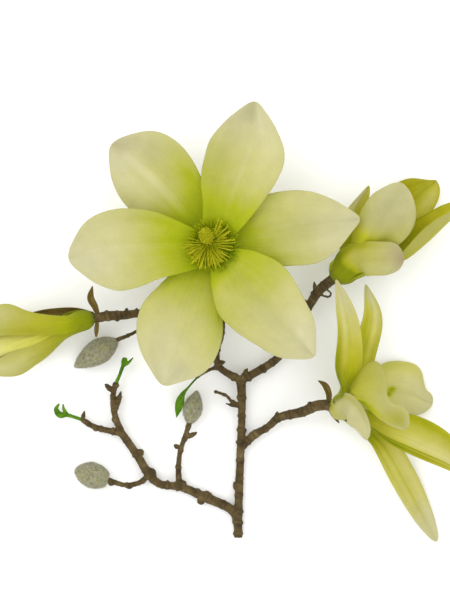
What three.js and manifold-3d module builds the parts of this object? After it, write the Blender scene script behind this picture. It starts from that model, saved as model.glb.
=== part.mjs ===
// A cut magnolia branch lying on a surface. Millimetres, +X to the right and +Y up along the branch as it
// grows, +Z up from the surface. The origin is under the middle of the branch.
import * as THREE from 'three';
import { mergeVertices } from 'three/addons/utils/BufferGeometryUtils.js';
import Module from 'manifold-3d';

const wasm = await Module();
wasm.setup();

// Driving dimensions
const jointGap = 0.55; // left between the middles of two faces that meet at a joint
const petalThickness = 0.8;
const petalRows = 9;
const petalColumns = 6;
const petalFoot = 2.4; // how far a side flower's petal runs along the axis before it bends
const twigSides = 8;

const branch = new THREE.Group();

// Finishes
const finish = {
  petal: { color: 0xcdca86, roughness: 0.75 },
  petalBase: { color: 0x8f9a08, roughness: 0.7 },
  wood: { color: 0x5b4626, roughness: 0.85 },
  scale: { color: 0x6b4c12, roughness: 0.7 },
  felt: { color: 0x96947a, roughness: 1.0 },
  pistil: { color: 0xa9b20c, roughness: 0.7 },
  stamen: { color: 0x7fa00a, roughness: 0.7 },
  shoot: { color: 0x3f8005, roughness: 0.5 },
};

const vector = (point) => new THREE.Vector3(...point);
const smoothCurve = (points) => new THREE.CatmullRomCurve3(points.map(vector), false, 'centripetal');

function addPiece(name, geometry, look) {
  const mesh = new THREE.Mesh(geometry, new THREE.MeshStandardMaterial({ metalness: 0, ...look }));
  mesh.name = name;
  branch.add(mesh);
}

// A value at u from 0 to 1 along a short list, as a smooth curve through its entries.
function along(values, u) {
  const last = values.length - 1;
  const place = Math.min(Math.max(u, 0), 1) * last;
  const i = Math.min(Math.floor(place), last - 1);
  const t = place - i;
  const before = values[Math.max(i - 1, 0)];
  const after = values[Math.min(i + 2, last)];
  const [from, to] = [values[i], values[i + 1]];
  const bend = 2 * before - 5 * from + 4 * to - after;
  const turn = 3 * (from - to) + after - before;
  return from + 0.5 * t * (to - before + t * (bend + t * turn));
}

function closedGeometry(positions, triangles) {
  const geometry = new THREE.BufferGeometry();
  geometry.setAttribute('position', new THREE.Float32BufferAttribute(positions, 3));
  geometry.setIndex(triangles);
  geometry.computeVertexNormals();
  return geometry;
}

function toSolid(geometry) {
  const bare = geometry.clone();
  bare.deleteAttribute('normal');
  bare.deleteAttribute('uv');
  const welded = mergeVertices(bare, 1e-4);
  const vertProperties = new Float32Array(welded.attributes.position.array);
  const triVerts = new Uint32Array(welded.index.array);
  return new wasm.Manifold(new wasm.Mesh({ numProp: 3, vertProperties, triVerts }));
}

function fromSolid(solid) {
  const { vertProperties, triVerts } = solid.getMesh();
  return closedGeometry(vertProperties, [...triVerts]);
}

function fuse(geometries) {
  return fromSolid(geometries.map(toSolid).reduce((whole, next) => whole.add(next)));
}

// A petal: a thin closed sheet swept along its spine. left and right are its half widths from base to tip,
// seen from its inner face with the tip up. face is where the inner face looks, at the base and beyond.
// cup is the half angle that its section curls through, and blunt is how square the tip ends.
function petal({ spine, left, right, face, baseFace = face, cup, blunt = 8, rowCount = petalRows }) {
  const curve = smoothCurve(spine);
  const rows = [];
  for (let row = 0; row <= rowCount; row += 1) {
    const u = Math.sin((row / rowCount) * Math.PI / 2);
    const centre = curve.getPointAt(u);
    const tangent = curve.getTangentAt(u);
    const turn = THREE.MathUtils.smoothstep(u, 0, 0.5);
    const inner = vector(baseFace).normalize().lerp(vector(face).normalize(), turn);
    inner.addScaledVector(tangent, -inner.dot(tangent)).normalize();
    const side = new THREE.Vector3().crossVectors(tangent, inner);
    const close = Math.sqrt(Math.max(1 - u ** blunt, 0));
    const curl = THREE.MathUtils.degToRad(Math.max(along(cup, u), 1));
    const points = [];
    for (let column = 0; column <= petalColumns; column += 1) {
      const v = (2 * column) / petalColumns - 1;
      const half = Math.max(along(v < 0 ? left : right, u) * close, 0.4);
      const out = (half * Math.sin(curl * v)) / curl;
      const lift = (half * (1 - Math.cos(curl * v))) / curl;
      points.push(centre.clone().addScaledVector(side, out).addScaledVector(inner, lift));
    }
    rows.push(points);
  }
  return sheet(rows);
}

// Thickens a grid of points into a closed sheet.
function sheet(rows) {
  const across = rows[0].length;
  const positions = [];
  for (const towards of [0.5, -0.5]) {
    rows.forEach((points, row) => {
      points.forEach((point, column) => {
        const onward = rows[Math.min(row + 1, rows.length - 1)][column].clone();
        onward.sub(rows[Math.max(row - 1, 0)][column]);
        const sideways = points[Math.min(column + 1, across - 1)].clone();
        sideways.sub(points[Math.max(column - 1, 0)]);
        const normal = sideways.cross(onward).normalize();
        positions.push(...point.clone().addScaledVector(normal, towards * petalThickness).toArray());
      });
    });
  }
  const half = rows.length * across;
  const triangles = [];
  const quad = (a, b, c, d) => triangles.push(a, b, c, a, c, d);
  for (let row = 0; row < rows.length - 1; row += 1) {
    for (let column = 0; column < across - 1; column += 1) {
      const a = row * across + column;
      quad(a, a + 1, a + 1 + across, a + across);
      quad(half + a, half + a + across, half + a + 1 + across, half + a + 1);
    }
  }
  for (let row = 0; row < rows.length - 1; row += 1) {
    const a = row * across;
    const b = a + across - 1;
    quad(a, a + across, half + a + across, half + a);
    quad(b, half + b, half + b + across, b + across);
  }
  for (let column = 0; column < across - 1; column += 1) {
    const a = column;
    const b = (rows.length - 1) * across + column;
    quad(a, half + a, half + a + 1, a + 1);
    quad(b, b + 1, half + b + 1, half + b);
  }
  return closedGeometry(positions, triangles);
}

// A tapered twig through its points, each [x, y, z, radius].
function twig(points, steps = 3, sides = twigSides) {
  const curve = smoothCurve(points.map((point) => point.slice(0, 3)));
  const radii = points.map((point) => point[3]);
  const rings = (points.length - 1) * steps;
  const frames = curve.computeFrenetFrames(rings, false);
  const positions = [];
  const triangles = [];
  for (let ring = 0; ring <= rings; ring += 1) {
    const centre = curve.getPointAt(ring / rings);
    const radius = along(radii, ring / rings);
    for (let side = 0; side < sides; side += 1) {
      const angle = (2 * Math.PI * side) / sides;
      const point = centre.clone();
      point.addScaledVector(frames.normals[ring], radius * Math.cos(angle));
      point.addScaledVector(frames.binormals[ring], radius * Math.sin(angle));
      positions.push(...point.toArray());
    }
  }
  const ends = positions.length / 3;
  positions.push(...curve.getPointAt(0).toArray(), ...curve.getPointAt(1).toArray());
  for (let side = 0; side < sides; side += 1) {
    const next = (side + 1) % sides;
    for (let ring = 0; ring < rings; ring += 1) {
      const [a, b] = [ring * sides + side, ring * sides + next];
      triangles.push(a, b, b + sides, a, b + sides, a + sides);
    }
    triangles.push(ends, next, side);
    triangles.push(ends + 1, rings * sides + side, rings * sides + next);
  }
  return closedGeometry(positions, triangles);
}

// A solid of revolution, its profile in [radius, height], set at a point and turned to an axis.
function turned(profile, at, axis, sides = 12) {
  const outline = profile.map(([radius, height]) => new THREE.Vector2(radius, height));
  const geometry = new THREE.LatheGeometry(outline, sides);
  const lathed = new THREE.Vector3(0, 1, 0);
  const direction = vector(axis).normalize();
  geometry.applyQuaternion(new THREE.Quaternion().setFromUnitVectors(lathed, direction));
  geometry.translate(...at);
  return geometry;
}

// An egg from the middle of its flat base to its tip.
function egg(base, tip, radius, { flat = 0.4, sides = 12, rings = 8, fullest = 0.45 } = {}) {
  const axis = vector(tip).sub(vector(base));
  const profile = [[0, 0]];
  for (let ring = 0; ring <= rings; ring += 1) {
    const t = (1 - Math.cos((Math.PI * ring) / rings)) / 2;
    const wide = t < fullest ? t / fullest : (1 - t) / (1 - fullest);
    const swell = Math.sin((wide * Math.PI) / 2) ** 0.8;
    const least = t < fullest ? flat : 0;
    profile.push([ring === rings ? 0 : least + (radius - least) * swell, t * axis.length()]);
  }
  return turned(profile, base, axis.toArray(), sides);
}

// The woody branch: one grown piece.

const mainStem = [
  [7, -112, 2.3, 2.3],
  [7, -101, 2.6, 2.2],
  [7.8, -76, 3.6, 2.15],
  [8.8, -49.5, 5, 2.1],
  [8.8, -37, 5.8, 2],
  [8.3, -29.6, 6.4, 2.5],
];
const lowerLimb = [
  [6.6, -107, 2.7, 1.9],
  [4.2, -98.3, 3, 2.4],
  [-9.9, -91, 3.4, 2.5],
  [-23.9, -85.3, 3.6, 2.2],
  [-34.2, -83.8, 3.8, 2.1],
  [-39.8, -78.8, 4, 2.3],
  [-45.6, -69.4, 4.2, 2.1],
  [-54, -57.4, 4.4, 2.1],
];
const lowerLeftArm = [
  [-54, -57.4, 4.4, 1.7],
  [-60.5, -56, 4.2, 1.6],
  [-68.1, -54.1, 4, 1.5],
  [-75, -50.2, 4, 1.3],
];
const lowerUpArm = [
  [-54, -57.4, 4.4, 1.9],
  [-56.8, -50.5, 5, 1.7],
  [-58.8, -40, 6, 1.35],
  [-57, -30.6, 6.8, 1.5],
];
const feltTwigLeft = [
  [-39.8, -78.8, 4, 1.5],
  [-44, -82.8, 4.4, 1.4],
  [-52, -84.4, 5.2, 1.3],
  [-61, -81.8, 6.3, 1.5],
];
const feltTwigUp = [
  [-23.9, -85.3, 3.6, 1.7],
  [-24.4, -76, 4.4, 1.5],
  [-23.4, -66.6, 5.2, 1.3],
  [-20.8, -58.8, 5.8, 1.3],
  [-18.7, -52.3, 6.2, 1.4],
];
const rightLimb = [
  [9.2, -64.5, 4.4, 1.9],
  [14.5, -58.8, 4.8, 2.2],
  [22.9, -53.6, 5.6, 1.9],
  [28, -49.2, 7, 2.2],
  [40.6, -45.8, 13.4, 2.4],
  [47.4, -42.8, 17.6, 2.6],
  [51.3, -42.2, 19.1, 2.8],
  [54.2, -42.6, 20, 2.8],
];
const rightForkLimb = [
  [8.3, -29.6, 6.4, 2.3],
  [19.2, -23.6, 6, 2.1],
  [27.6, -17.7, 6, 2.1],
  [37, -3, 8, 1.9],
  [44.2, 9.9, 11.5, 2.1],
  [49, 17.4, 15.6, 2.5],
  [55.8, 23.2, 18.6, 2.7],
];
const leftForkLimb = [
  [8.3, -29.6, 6.4, 2.2],
  [-3.1, -22.4, 6, 1.8],
  [-4.6, -15, 6.2, 1.8],
  [-2, -5.7, 7.5, 1.7],
  [-1.6, 7.3, 9, 1.7],
  [-3.5, 22, 10.4, 1.8],
  [-5.6, 34, 12.6, 1.9],
  [-6.2, 40, 17.6, 2],
  [-6.2, 41, 25.5, 2.2],
];
const leftFlowerLimb = [
  [-1.9, 0.6, 8.3, 1.6],
  [-13, 3.6, 7.4, 1.5],
  [-28.6, 6.2, 7.6, 1.5],
  [-45.8, 5.4, 9.6, 1.4],
  [-53, 4.6, 12.4, 2.1],
  [-60, 4.2, 16.4, 2.5],
  [-67.4, 3.2, 17.6, 2.6],
];
const feltStalkBack = [
  [-33.8, 6.2, 8, 1.2],
  [-39, 1, 7.6, 1],
  [-46.8, -4.2, 7.4, 0.9],
  [-56.4, -8.4, 7.4, 1.2],
];
const sideTwig = [
  [8, -42.6, 5.6, 1.1],
  [3.6, -40.6, 7, 0.9],
  [0.5, -37.4, 8, 0.8],
  [-4.7, -35.6, 9, 0.8],
];
const leafTwig = [
  [-3.6, -22.6, 6, 1.1],
  [-8.6, -24.2, 7.2, 0.9],
  [-13.6, -27, 8, 0.9],
];

// Side buds, stubs and knobs, each from its base to its tip with its greatest radius.
const knobs = [
  [[6.8, -83, 3.2], [2.6, -83.6, 3.6], 1.1],
  [[27.6, -50.5, 7.4], [27.3, -45.4, 8.6], 1.2],
  [[40, -44.8, 12.4], [40.4, -48.6, 13.6], 1.7],
  [[8.4, -30, 6.4], [12, -22.8, 7.8], 1.5],
  [[-3.6, -21, 6], [-0.2, -19.6, 7], 1.4],
  [[-20, -59.6, 5.8], [-14.2, -56.6, 6.8], 1.2],
  [[-24, -64.6, 5.2], [-26.6, -62.6, 5.6], 0.9],
  [[-75, -51.6, 4], [-73.4, -45.4, 5.2], 1.3],
  [[-58.2, -36.8, 6.2], [-62.8, -31.4, 6.8], 1.4],
  [[-58, -44.8, 5.6], [-54, -36, 6.4], 1.5],
  [[44, 9.4, 11.5], [39.6, 13.8, 12.5], 1],
  [[47.6, 14.4, 13.4], [46.4, 22.6, 15], 1.2],
  [[8, -43.8, 5.6], [-0.6, -41.4, 6.8], 0.8],
  [[-51.6, 5.2, 11.6], [-51.3, 8.4, 12.6], 1],
  [[-45.6, 5.2, 9.6], [-46.4, 8.6, 10], 1.1],
];

// A small shoot that loops back to its limb.
const loopTwig = [
  [48.6, 16.4, 14.8, 0.6],
  [51.6, 14.6, 15.4, 0.6],
  [54.4, 14.2, 16, 0.6],
  [55.2, 16, 16.4, 0.55],
  [53.4, 17.6, 16.6, 0.5],
];

const limbs = [
  mainStem, lowerLimb, lowerLeftArm, lowerUpArm, feltTwigLeft, feltTwigUp, rightLimb, rightForkLimb,
  leftForkLimb, leftFlowerLimb, feltStalkBack, sideTwig, leafTwig,
];
addPiece(
  'woody_branch',
  fuse([
    ...limbs.map((points) => twig(points)),
    twig(loopTwig, 2, 6),
    ...knobs.map(([base, tip, radius]) => egg(base, tip, radius, { sides: 7, rings: 4 })),
  ]),
  finish.wood,
);

// The main bloom, wide open and facing up.

const bloomFoot = [-6.2, 41, 26];
const up = [0, 0, 1];
addPiece(
  'main_receptacle',
  turned([[0, 0], [2.4, 0], [4.9, 4], [4.9, 11], [3.4, 12], [0, 12]], bloomFoot, up, 16),
  finish.petalBase,
);
addPiece(
  'main_pistil',
  egg([-6.4, 41.3, 39.2], [-10, 47.4, 50.6], 3.3, { flat: 1.6, fullest: 0.6 }),
  finish.pistil,
);
addPiece(
  'main_stamens',
  turned([[5.2, 10.6], [12.5, 15.6], [12.5, 16.4], [5.2, 12.2], [5.2, 10.6]], bloomFoot, up, 20),
  finish.stamen,
);

// Spines of the main petals, their heights from the foot of the receptacle.
const mainPetals = {
  main_inner_top: {
    spine: [[-4.7, 46.3, 9.3], [-1, 56, 12], [5.6, 74, 15.5], [12, 92, 17.5], [15.6, 115, 17]],
    left: [4.6, 11, 17, 20, 20.5, 16.5, 9],
    right: [4.6, 12, 18, 21, 20.5, 14.5, 8],
    cup: [35, 22, 20, 30],
  },
  main_inner_left: {
    spine: [[-11.7, 40.6, 9.3], [-22, 40, 11.6], [-40, 39.4, 15], [-60, 38, 17], [-80.8, 34, 16.5]],
    left: [4.6, 11, 16.5, 20, 21.5, 18.5, 11],
    right: [4.6, 11.5, 17.5, 20.5, 21.5, 19, 12],
    cup: [35, 22, 20, 30],
  },
  main_inner_right: {
    spine: [[-2.8, 36.7, 9.3], [5, 28, 11.6], [17, 14, 15], [30, 0, 17], [46.2, -16.6, 16.5]],
    left: [4.6, 11, 17, 19, 18, 13, 8],
    right: [4.6, 11, 17, 20.5, 21.5, 17.5, 9],
    cup: [35, 22, 20, 30],
  },
  main_outer_left: {
    spine: [[-9.7, 44.9, 5.6], [-18, 54, 6.6], [-29, 66.5, 9], [-42, 79, 10.6], [-58.8, 93, 10]],
    left: [4, 9, 15, 19.5, 21, 18.5, 11],
    right: [4, 10, 16, 21, 22.5, 19.5, 12],
    cup: [30, 18, 14, 26],
  },
  main_outer_bottom: {
    spine: [[-7.9, 36.1, 5.6], [-12, 26, 6.6], [-17, 10, 9], [-23.5, -9, 10.6], [-32, -31.6, 10]],
    left: [4, 9, 15.5, 20, 21, 17.5, 9],
    right: [4, 9, 17.5, 23, 24.5, 20.5, 11],
    cup: [30, 18, 14, 26],
  },
  main_outer_right: {
    spine: [[-1.1, 41.9, 5.6], [9, 44, 6.6], [26, 48, 9], [46, 52, 11.6], [69.8, 54.4, 13]],
    left: [4, 9, 15, 18.5, 19, 14.5, 7],
    right: [4, 9, 15, 19.5, 20, 15.5, 7],
    cup: [30, 18, 14, 26],
  },
};
for (const [name, shape] of Object.entries(mainPetals)) {
  addPiece(name, petal({ face: up, ...shape }).translate(0, 0, bloomFoot[2]), finish.petal);
}

// Side flowers: petals stand on a receptacle whose top faces along the flower's axis.

// Where a petal starts on the receptacle, turn degrees round the axis from the side that faces up.
function seat(top, axis, turn, radius) {
  const front = new THREE.Vector3(0, 0, 1).addScaledVector(axis, -axis.z).normalize();
  const side = new THREE.Vector3().crossVectors(axis, front);
  const angle = THREE.MathUtils.degToRad(turn);
  const outward = front.multiplyScalar(Math.cos(angle)).addScaledVector(side, Math.sin(angle));
  const start = top.clone().addScaledVector(outward, radius).addScaledVector(axis, jointGap);
  const next = start.clone().addScaledVector(axis, petalFoot);
  return { start: [start.toArray(), next.toArray()], baseFace: outward.negate().toArray() };
}

function addFlower(name, { limb, axis: direction, height, wide, petals }) {
  const axis = vector(direction).normalize();
  const foot = vector(limb.at(-1).slice(0, 3)).addScaledVector(axis, jointGap);
  const top = foot.clone().addScaledVector(axis, height);
  const cupShape = [[0, 0], [0.42, 0], [0.8, 0.4], [1, 0.8], [1, 1], [0, 1]];
  const profile = cupShape.map(([out, rise]) => [out * wide, rise * height]);
  addPiece(`${name}_receptacle`, turned(profile, foot.toArray(), direction), finish.petalBase);
  for (const [piece, { turn, ring, through, ...shape }] of Object.entries(petals)) {
    const { start, baseFace } = seat(top, axis, turn, ring);
    addPiece(`${name}_${piece}`, petal({ spine: [...start, ...through], baseFace, ...shape }), finish.petal);
  }
}

// The upper right flower, half open.
addFlower('upper', {
  limb: rightForkLimb,
  axis: [0.75, 0.63, 0.2],
  height: 6,
  wide: 6.6,
  petals: {
    front_petal: {
      turn: 330,
      ring: 2.6,
      through: [[66, 36, 31], [75.4, 47.6, 36.5], [84.8, 60.6, 37], [92, 73, 32.5]],
      face: [0.1, 0, -1],
      left: [2, 5, 13, 18, 18, 14],
      right: [2, 4.6, 9, 12.5, 13, 10],
      cup: [60, 48, 45, 40],
    },
    low_petal: {
      turn: 40,
      ring: 5.4,
      through: [[66.8, 31.4, 33.6], [73, 33.4, 39.8], [84, 33.8, 42], [92.4, 33.2, 38.6]],
      face: [0, 0, -1],
      left: [2.4, 7.5, 9.4, 9.2, 9, 7],
      right: [2.4, 6.5, 9, 9.4, 9.2, 8],
      cup: [50, 46, 42, 40],
      blunt: 14,
    },
    high_petal: {
      turn: 205,
      ring: 2.6,
      through: [[79.6, 40, 9], [90, 53, 3.4], [98.6, 63, 2], [108.6, 73.4, 5]],
      face: [-0.2, 0.1, 1],
      left: [2, 7, 11, 15, 15, 11],
      right: [2, 5, 8, 9.5, 9.5, 8],
      cup: [50, 36, 25, 30],
      blunt: 12,
    },
    right_petal: {
      turn: 118,
      ring: 5.4,
      through: [[80, 29.6, 19], [92.4, 34.4, 19], [104, 43.2, 18.5], [116, 54, 19.5], [129.6, 66, 22]],
      face: [-0.5, 0.65, 0.5],
      left: [2.4, 5, 8, 9, 8, 4],
      right: [2.4, 7, 10, 11, 8, 4],
      cup: [50, 55, 60, 50],
    },
    left_petal: {
      turn: 262,
      ring: 5.4,
      through: [[60.5, 38, 19], [63, 48, 18], [68.5, 61, 17.5], [75, 72, 18.5]],
      face: [0.7, -0.35, 0.6],
      left: [2.4, 7, 9, 9, 7, 4],
      right: [2.4, 7, 9, 9, 7, 4],
      cup: [50, 40, 30, 30],
    },
  },
});

// The right flower, open and seen from its side.
addFlower('right', {
  limb: rightLimb,
  axis: [0.96, -0.13, 0.28],
  height: 4,
  wide: 5,
  petals: {
    tall_left_petal: {
      turn: 300,
      ring: 4.3,
      through: [[61.5, -34, 27.6], [64.8, -21, 31], [64.2, -3, 34], [61.5, 10, 35.5], [57.6, 23, 35]],
      face: [0.35, 0, 0.94],
      left: [1.8, 6, 7.4, 7.6, 6.5, 3.5],
      right: [1.8, 5, 6.8, 7, 6, 3.5],
      cup: [50, 46, 40, 30],
      blunt: 4,
    },
    tall_right_petal: {
      turn: 243,
      ring: 4.3,
      through: [[66.4, -31, 18], [72.4, -12, 20], [76, 5, 20], [73.4, 20.6, 18]],
      face: [0.5, 0, 0.85],
      left: [1.8, 6, 8, 8, 7, 4],
      right: [1.8, 6, 8, 8, 7, 4],
      cup: [50, 50, 45, 30],
      blunt: 4,
    },
    front_petal: {
      turn: 345,
      ring: 2.2,
      rowCount: 14,
      through: [[65.8, -38.2, 37], [73.8, -38.4, 45.8], [83, -44.6, 48], [94, -54, 42]],
      face: [0.4, 0, -0.9],
      left: [1.8, 1.6, 2, 5.5, 7, 6],
      right: [1.8, 1.8, 2.4, 6, 15, 19, 13, 8, 7.5, 8, 6],
      cup: [50, 45, 40, 40],
      blunt: 12,
    },
    back_petal: {
      turn: 190,
      ring: 4.3,
      through: [[69, -41, 9], [81, -37.5, 2.2], [94, -36.5, 1], [108.5, -42, 4]],
      face: [-0.2, 0, 1],
      left: [1.8, 8, 16, 20, 15, 14, 10],
      right: [1.8, 8, 13, 15, 15, 13, 10],
      cup: [50, 30, 25, 30],
      blunt: 12,
    },
    low_right_petal: {
      turn: 98,
      ring: 2.2,
      through: [[69, -49, 22.5], [83, -55.6, 20.5], [99, -61.5, 21], [117, -70, 24], [134, -83, 26]],
      face: [-0.1, 0.2, 1],
      left: [1.8, 9, 13.5, 13.5, 10, 5],
      right: [1.8, 4, 7, 8, 7, 4],
      cup: [50, 40, 30, 30],
      blunt: 5,
    },
    long_petal: {
      turn: 132,
      ring: 4.3,
      through: [[69, -52.6, 16], [81, -61, 12], [93, -80, 6.5], [104, -101, 3], [111, -114, 1.6]],
      face: [0.2, 0.1, 1],
      left: [1.8, 5, 7, 7.5, 6.5, 5],
      right: [1.8, 5, 7, 7.5, 6.5, 5],
      cup: [50, 30, 20, 20],
    },
    short_petal: {
      turn: 45,
      ring: 4.3,
      through: [[61.6, -43.6, 30], [64.6, -47.2, 34.6], [69, -52.6, 34], [73.2, -60, 29.5]],
      face: [0.5, 0.3, -0.8],
      left: [1.8, 7, 8.6, 8, 7, 4],
      right: [1.8, 3, 4, 5.5, 5, 3.5],
      cup: [50, 50, 45, 40],
    },
  },
});

// The left flower, nearly closed.
addFlower('left', {
  limb: leftFlowerLimb,
  axis: [-0.97, -0.2, 0.12],
  height: 6.5,
  wide: 5.4,
  petals: {
    upper_petal: {
      turn: 30,
      ring: 4.4,
      through: [[-80.6, 1.8, 26], [-93, 1.2, 30.5], [-104.5, 1.4, 33], [-117, 1, 33.5], [-133.6, -7, 28]],
      face: [0, -0.2, -1],
      left: [2.4, 4, 4.2, 6.5, 11, 10, 5],
      right: [2.4, 5, 6, 9, 10, 9, 5],
      cup: [55, 55, 45, 40],
    },
    lower_petal: {
      turn: 292,
      ring: 4.4,
      through: [[-80.6, -5, 20], [-91, -10.8, 22], [-100.4, -17, 23], [-111.8, -23, 23], [-126.4, -26.4, 19]],
      face: [0, 0.7, -0.7],
      left: [2.4, 5.5, 6.5, 8, 9, 8, 5],
      right: [2.4, 5.5, 6.5, 8, 9, 8, 5],
      cup: [55, 50, 45, 40],
    },
    inner_petal: {
      turn: 340,
      ring: 2.2,
      through: [[-86, -2, 22], [-100, -6.5, 24], [-114, -10.5, 24.5], [-130, -14, 22]],
      face: [0, 0.2, -1],
      left: [2, 5, 6, 6.5, 6, 4],
      right: [2, 5, 6, 6.5, 6, 4],
      cup: [50, 45, 40, 40],
    },
    back_petal: {
      turn: 170,
      ring: 4.4,
      through: [[-85, -2, 5.4], [-99, -6, 1.2], [-114, -9, 1], [-130, -12, 4.6]],
      face: [0, 0, 1],
      left: [2.4, 5, 8, 11, 11, 7],
      right: [2.4, 9, 12, 13, 12, 7],
      cup: [55, 45, 35, 35],
    },
  },
});

// Pistils of the two side flowers that are open enough to look into.
const slimPistil = { flat: 1.2, fullest: 0.6, rings: 6 };
addPiece('upper_pistil', egg([61.1, 27.7, 20], [69.5, 34.6, 22.2], 1.7, slimPistil), finish.pistil);
addPiece('right_pistil', egg([58.95, -43.25, 21.4], [70, -44.7, 24.6], 1.7, slimPistil), finish.pistil);

// Bud scales at the flower joints.

const scales = {
  left_long_scale: {
    spine: [[-68.6, 5.4, 14], [-77.5, 7, 13], [-88.4, 6.4, 14], [-98.8, 5.4, 15], [-105, 4.6, 15.6]],
    left: [1, 1.8, 2.4, 2.2, 1],
    right: [1, 1.8, 2.4, 2.2, 1],
    face: [0, -0.3, 0.95],
    cup: [40, 40, 30],
  },
  left_scale_high: {
    spine: [[-66.7, 6.5, 18], [-68.6, 9.6, 18.4], [-70.2, 13.4, 19], [-69, 19.8, 19.6]],
    left: [1, 1.6, 1.9, 1],
    right: [1, 1.6, 1.9, 1],
    face: [0.4, 0, 0.9],
    cup: [40, 40, 30],
  },
  left_scale_low: {
    spine: [[-66.8, -0.4, 18], [-67, -3.4, 18.4], [-67.2, -7, 18]],
    left: [0.9, 1.3, 0.9],
    right: [0.9, 1.3, 0.9],
    face: [0, 0, 1],
    cup: [40, 40, 30],
  },
  right_scale_high: {
    spine: [[54.2, -39.4, 20.6], [54, -36, 21.2], [52, -32, 22], [48.4, -29.4, 22]],
    left: [1, 1.4, 1.4, 0.8],
    right: [1, 1.4, 1.4, 0.8],
    face: [0, 0.3, 1],
    cup: [40, 40, 30],
  },
  right_scale_low: {
    spine: [[54.2, -44.4, 16.9], [57, -48.4, 15.6], [59.6, -51.8, 15]],
    left: [0.9, 1.2, 0.8],
    right: [0.9, 1.2, 0.8],
    face: [0, 0, 1],
    cup: [40, 40, 30],
  },
};
for (const [name, shape] of Object.entries(scales)) {
  addPiece(name, petal({ blunt: 4, ...shape }), finish.scale);
}

// Each felt bud sits on the end of its stalk.
function addFeltBud(name, stalk, tip, radius, fullest) {
  const end = vector(stalk.at(-1).slice(0, 3));
  const towards = vector(tip).sub(end).normalize();
  const base = end.addScaledVector(towards, jointGap);
  addPiece(name, egg(base.toArray(), tip, radius, { flat: 1.4, fullest }), finish.felt);
}
addFeltBud('felt_bud_left', feltTwigLeft, [-78.6, -76.4, 6.8], 6.4, 0.5);
addFeltBud('felt_bud_up', feltTwigUp, [-14.6, -34.8, 7], 4.8, 0.4);
addFeltBud('felt_bud_back', feltStalkBack, [-79, -22.6, 7], 6.3, 0.4);

// Shoots and the leaf.

const shootLeft = [
  [[-76, -49.6, 4, 0.8], [-79.6, -48.6, 4, 0.9], [-83.4, -47.6, 4, 1.1]],
  [[-83, -47.6, 4, 1.2], [-86.6, -47.6, 4, 1.7], [-88.4, -44.6, 4.4, 1.3], [-86.8, -41.8, 4.6, 0.5]],
  [[-82.6, -47.6, 4, 0.9], [-84.4, -44.8, 4.8, 0.9], [-84.8, -42, 5.2, 0.4]],
];
const shootUp = [
  [[-56.8, -30, 6.9, 0.8], [-55, -26.4, 7.2, 0.9], [-53.2, -21.6, 7.4, 1]],
  [[-53.4, -22, 7.4, 1], [-52.6, -19.6, 7.4, 1.7], [-52.4, -17.6, 7.4, 1.2]],
  [[-53, -22, 7.4, 0.8], [-50.4, -20.2, 7.8, 0.8], [-48, -17.6, 8, 0.3]],
];
addPiece('shoot_left', fuse(shootLeft.map((points) => twig(points, 2, 6))), finish.shoot);
addPiece('shoot_up', fuse(shootUp.map((points) => twig(points, 2, 6))), finish.shoot);
addPiece(
  'leaf',
  petal({
    spine: [[-14, -27.4, 8.3], [-18.5, -32.4, 9.4], [-22.4, -37.4, 9.4], [-24, -43, 8.4], [-25.4, -49, 7]],
    left: [0.5, 0.5, 0.6, 1.4, 2.6, 2.4, 1],
    right: [0.5, 0.5, 0.6, 1.4, 2.6, 2.4, 1],
    face: up,
    cup: [20, 20, 30],
    blunt: 4,
  }),
  finish.shoot,
);

export default branch;
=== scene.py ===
import math
import zlib
import bpy
import numpy as np
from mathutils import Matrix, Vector, kdtree, noise


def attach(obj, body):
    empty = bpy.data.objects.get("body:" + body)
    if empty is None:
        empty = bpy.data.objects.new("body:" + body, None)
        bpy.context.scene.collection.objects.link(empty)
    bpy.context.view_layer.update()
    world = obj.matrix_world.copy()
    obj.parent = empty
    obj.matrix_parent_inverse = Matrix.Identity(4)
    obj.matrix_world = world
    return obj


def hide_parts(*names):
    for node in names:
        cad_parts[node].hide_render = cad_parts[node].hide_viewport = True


# A magnolia branch lying on a table, seen from straight above.
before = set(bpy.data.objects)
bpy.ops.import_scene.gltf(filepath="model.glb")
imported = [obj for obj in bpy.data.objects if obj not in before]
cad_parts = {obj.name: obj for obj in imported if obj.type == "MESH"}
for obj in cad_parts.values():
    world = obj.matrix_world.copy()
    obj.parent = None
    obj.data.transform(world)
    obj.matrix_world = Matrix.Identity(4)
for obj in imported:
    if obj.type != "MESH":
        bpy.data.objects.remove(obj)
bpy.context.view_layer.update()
print("frame loaded:", len(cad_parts), "solids")

mm = 0.001  # every size below is in millimetres unless it says otherwise
up = (0, 0, 1)


# Nodes and materials.

def paint(colour, light=1.0):
    # a colour as seen on a screen, as the linear numbers that shaders take, times the light
    linear = [part / 12.92 if part <= 0.04045 else ((part + 0.055) / 1.055) ** 2.4
              for part in (shown / 255 for shown in colour)]
    return (*(min(part * light, 1) for part in linear), 1)


def give(tree, socket, value):
    # a plain value or another node's output
    if isinstance(value, bpy.types.NodeSocket):
        tree.links.new(value, socket)
    else:
        socket.default_value = value


def addNode(tree, kind, inputs=None, output=0, **settings):
    # gives back one of the new node's outputs, or all of them where output is None
    node = tree.nodes.new(kind)
    for key, value in settings.items():
        setattr(node, key, value)
    for key, value in (inputs or {}).items():
        give(tree, node.inputs[key], value)
    return node.outputs if output is None else node.outputs[output]


def addRamp(tree, place, stops, light=1.0):
    # stops are (position, colour), and place is the output that picks between them
    colour = addNode(tree, "ShaderNodeValToRGB", {"Fac": place})
    elements = colour.node.color_ramp.elements
    while len(elements) < len(stops):
        elements.new(0.5)
    for element, (position, shown) in zip(elements, stops):
        element.position = position
        element.color = paint(shown, light)
    return colour


def doMaths(tree, operation, first, second=0.0, clamp=False):
    return addNode(tree, "ShaderNodeMath", {0: first, 1: second}, operation=operation, use_clamp=clamp)


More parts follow.
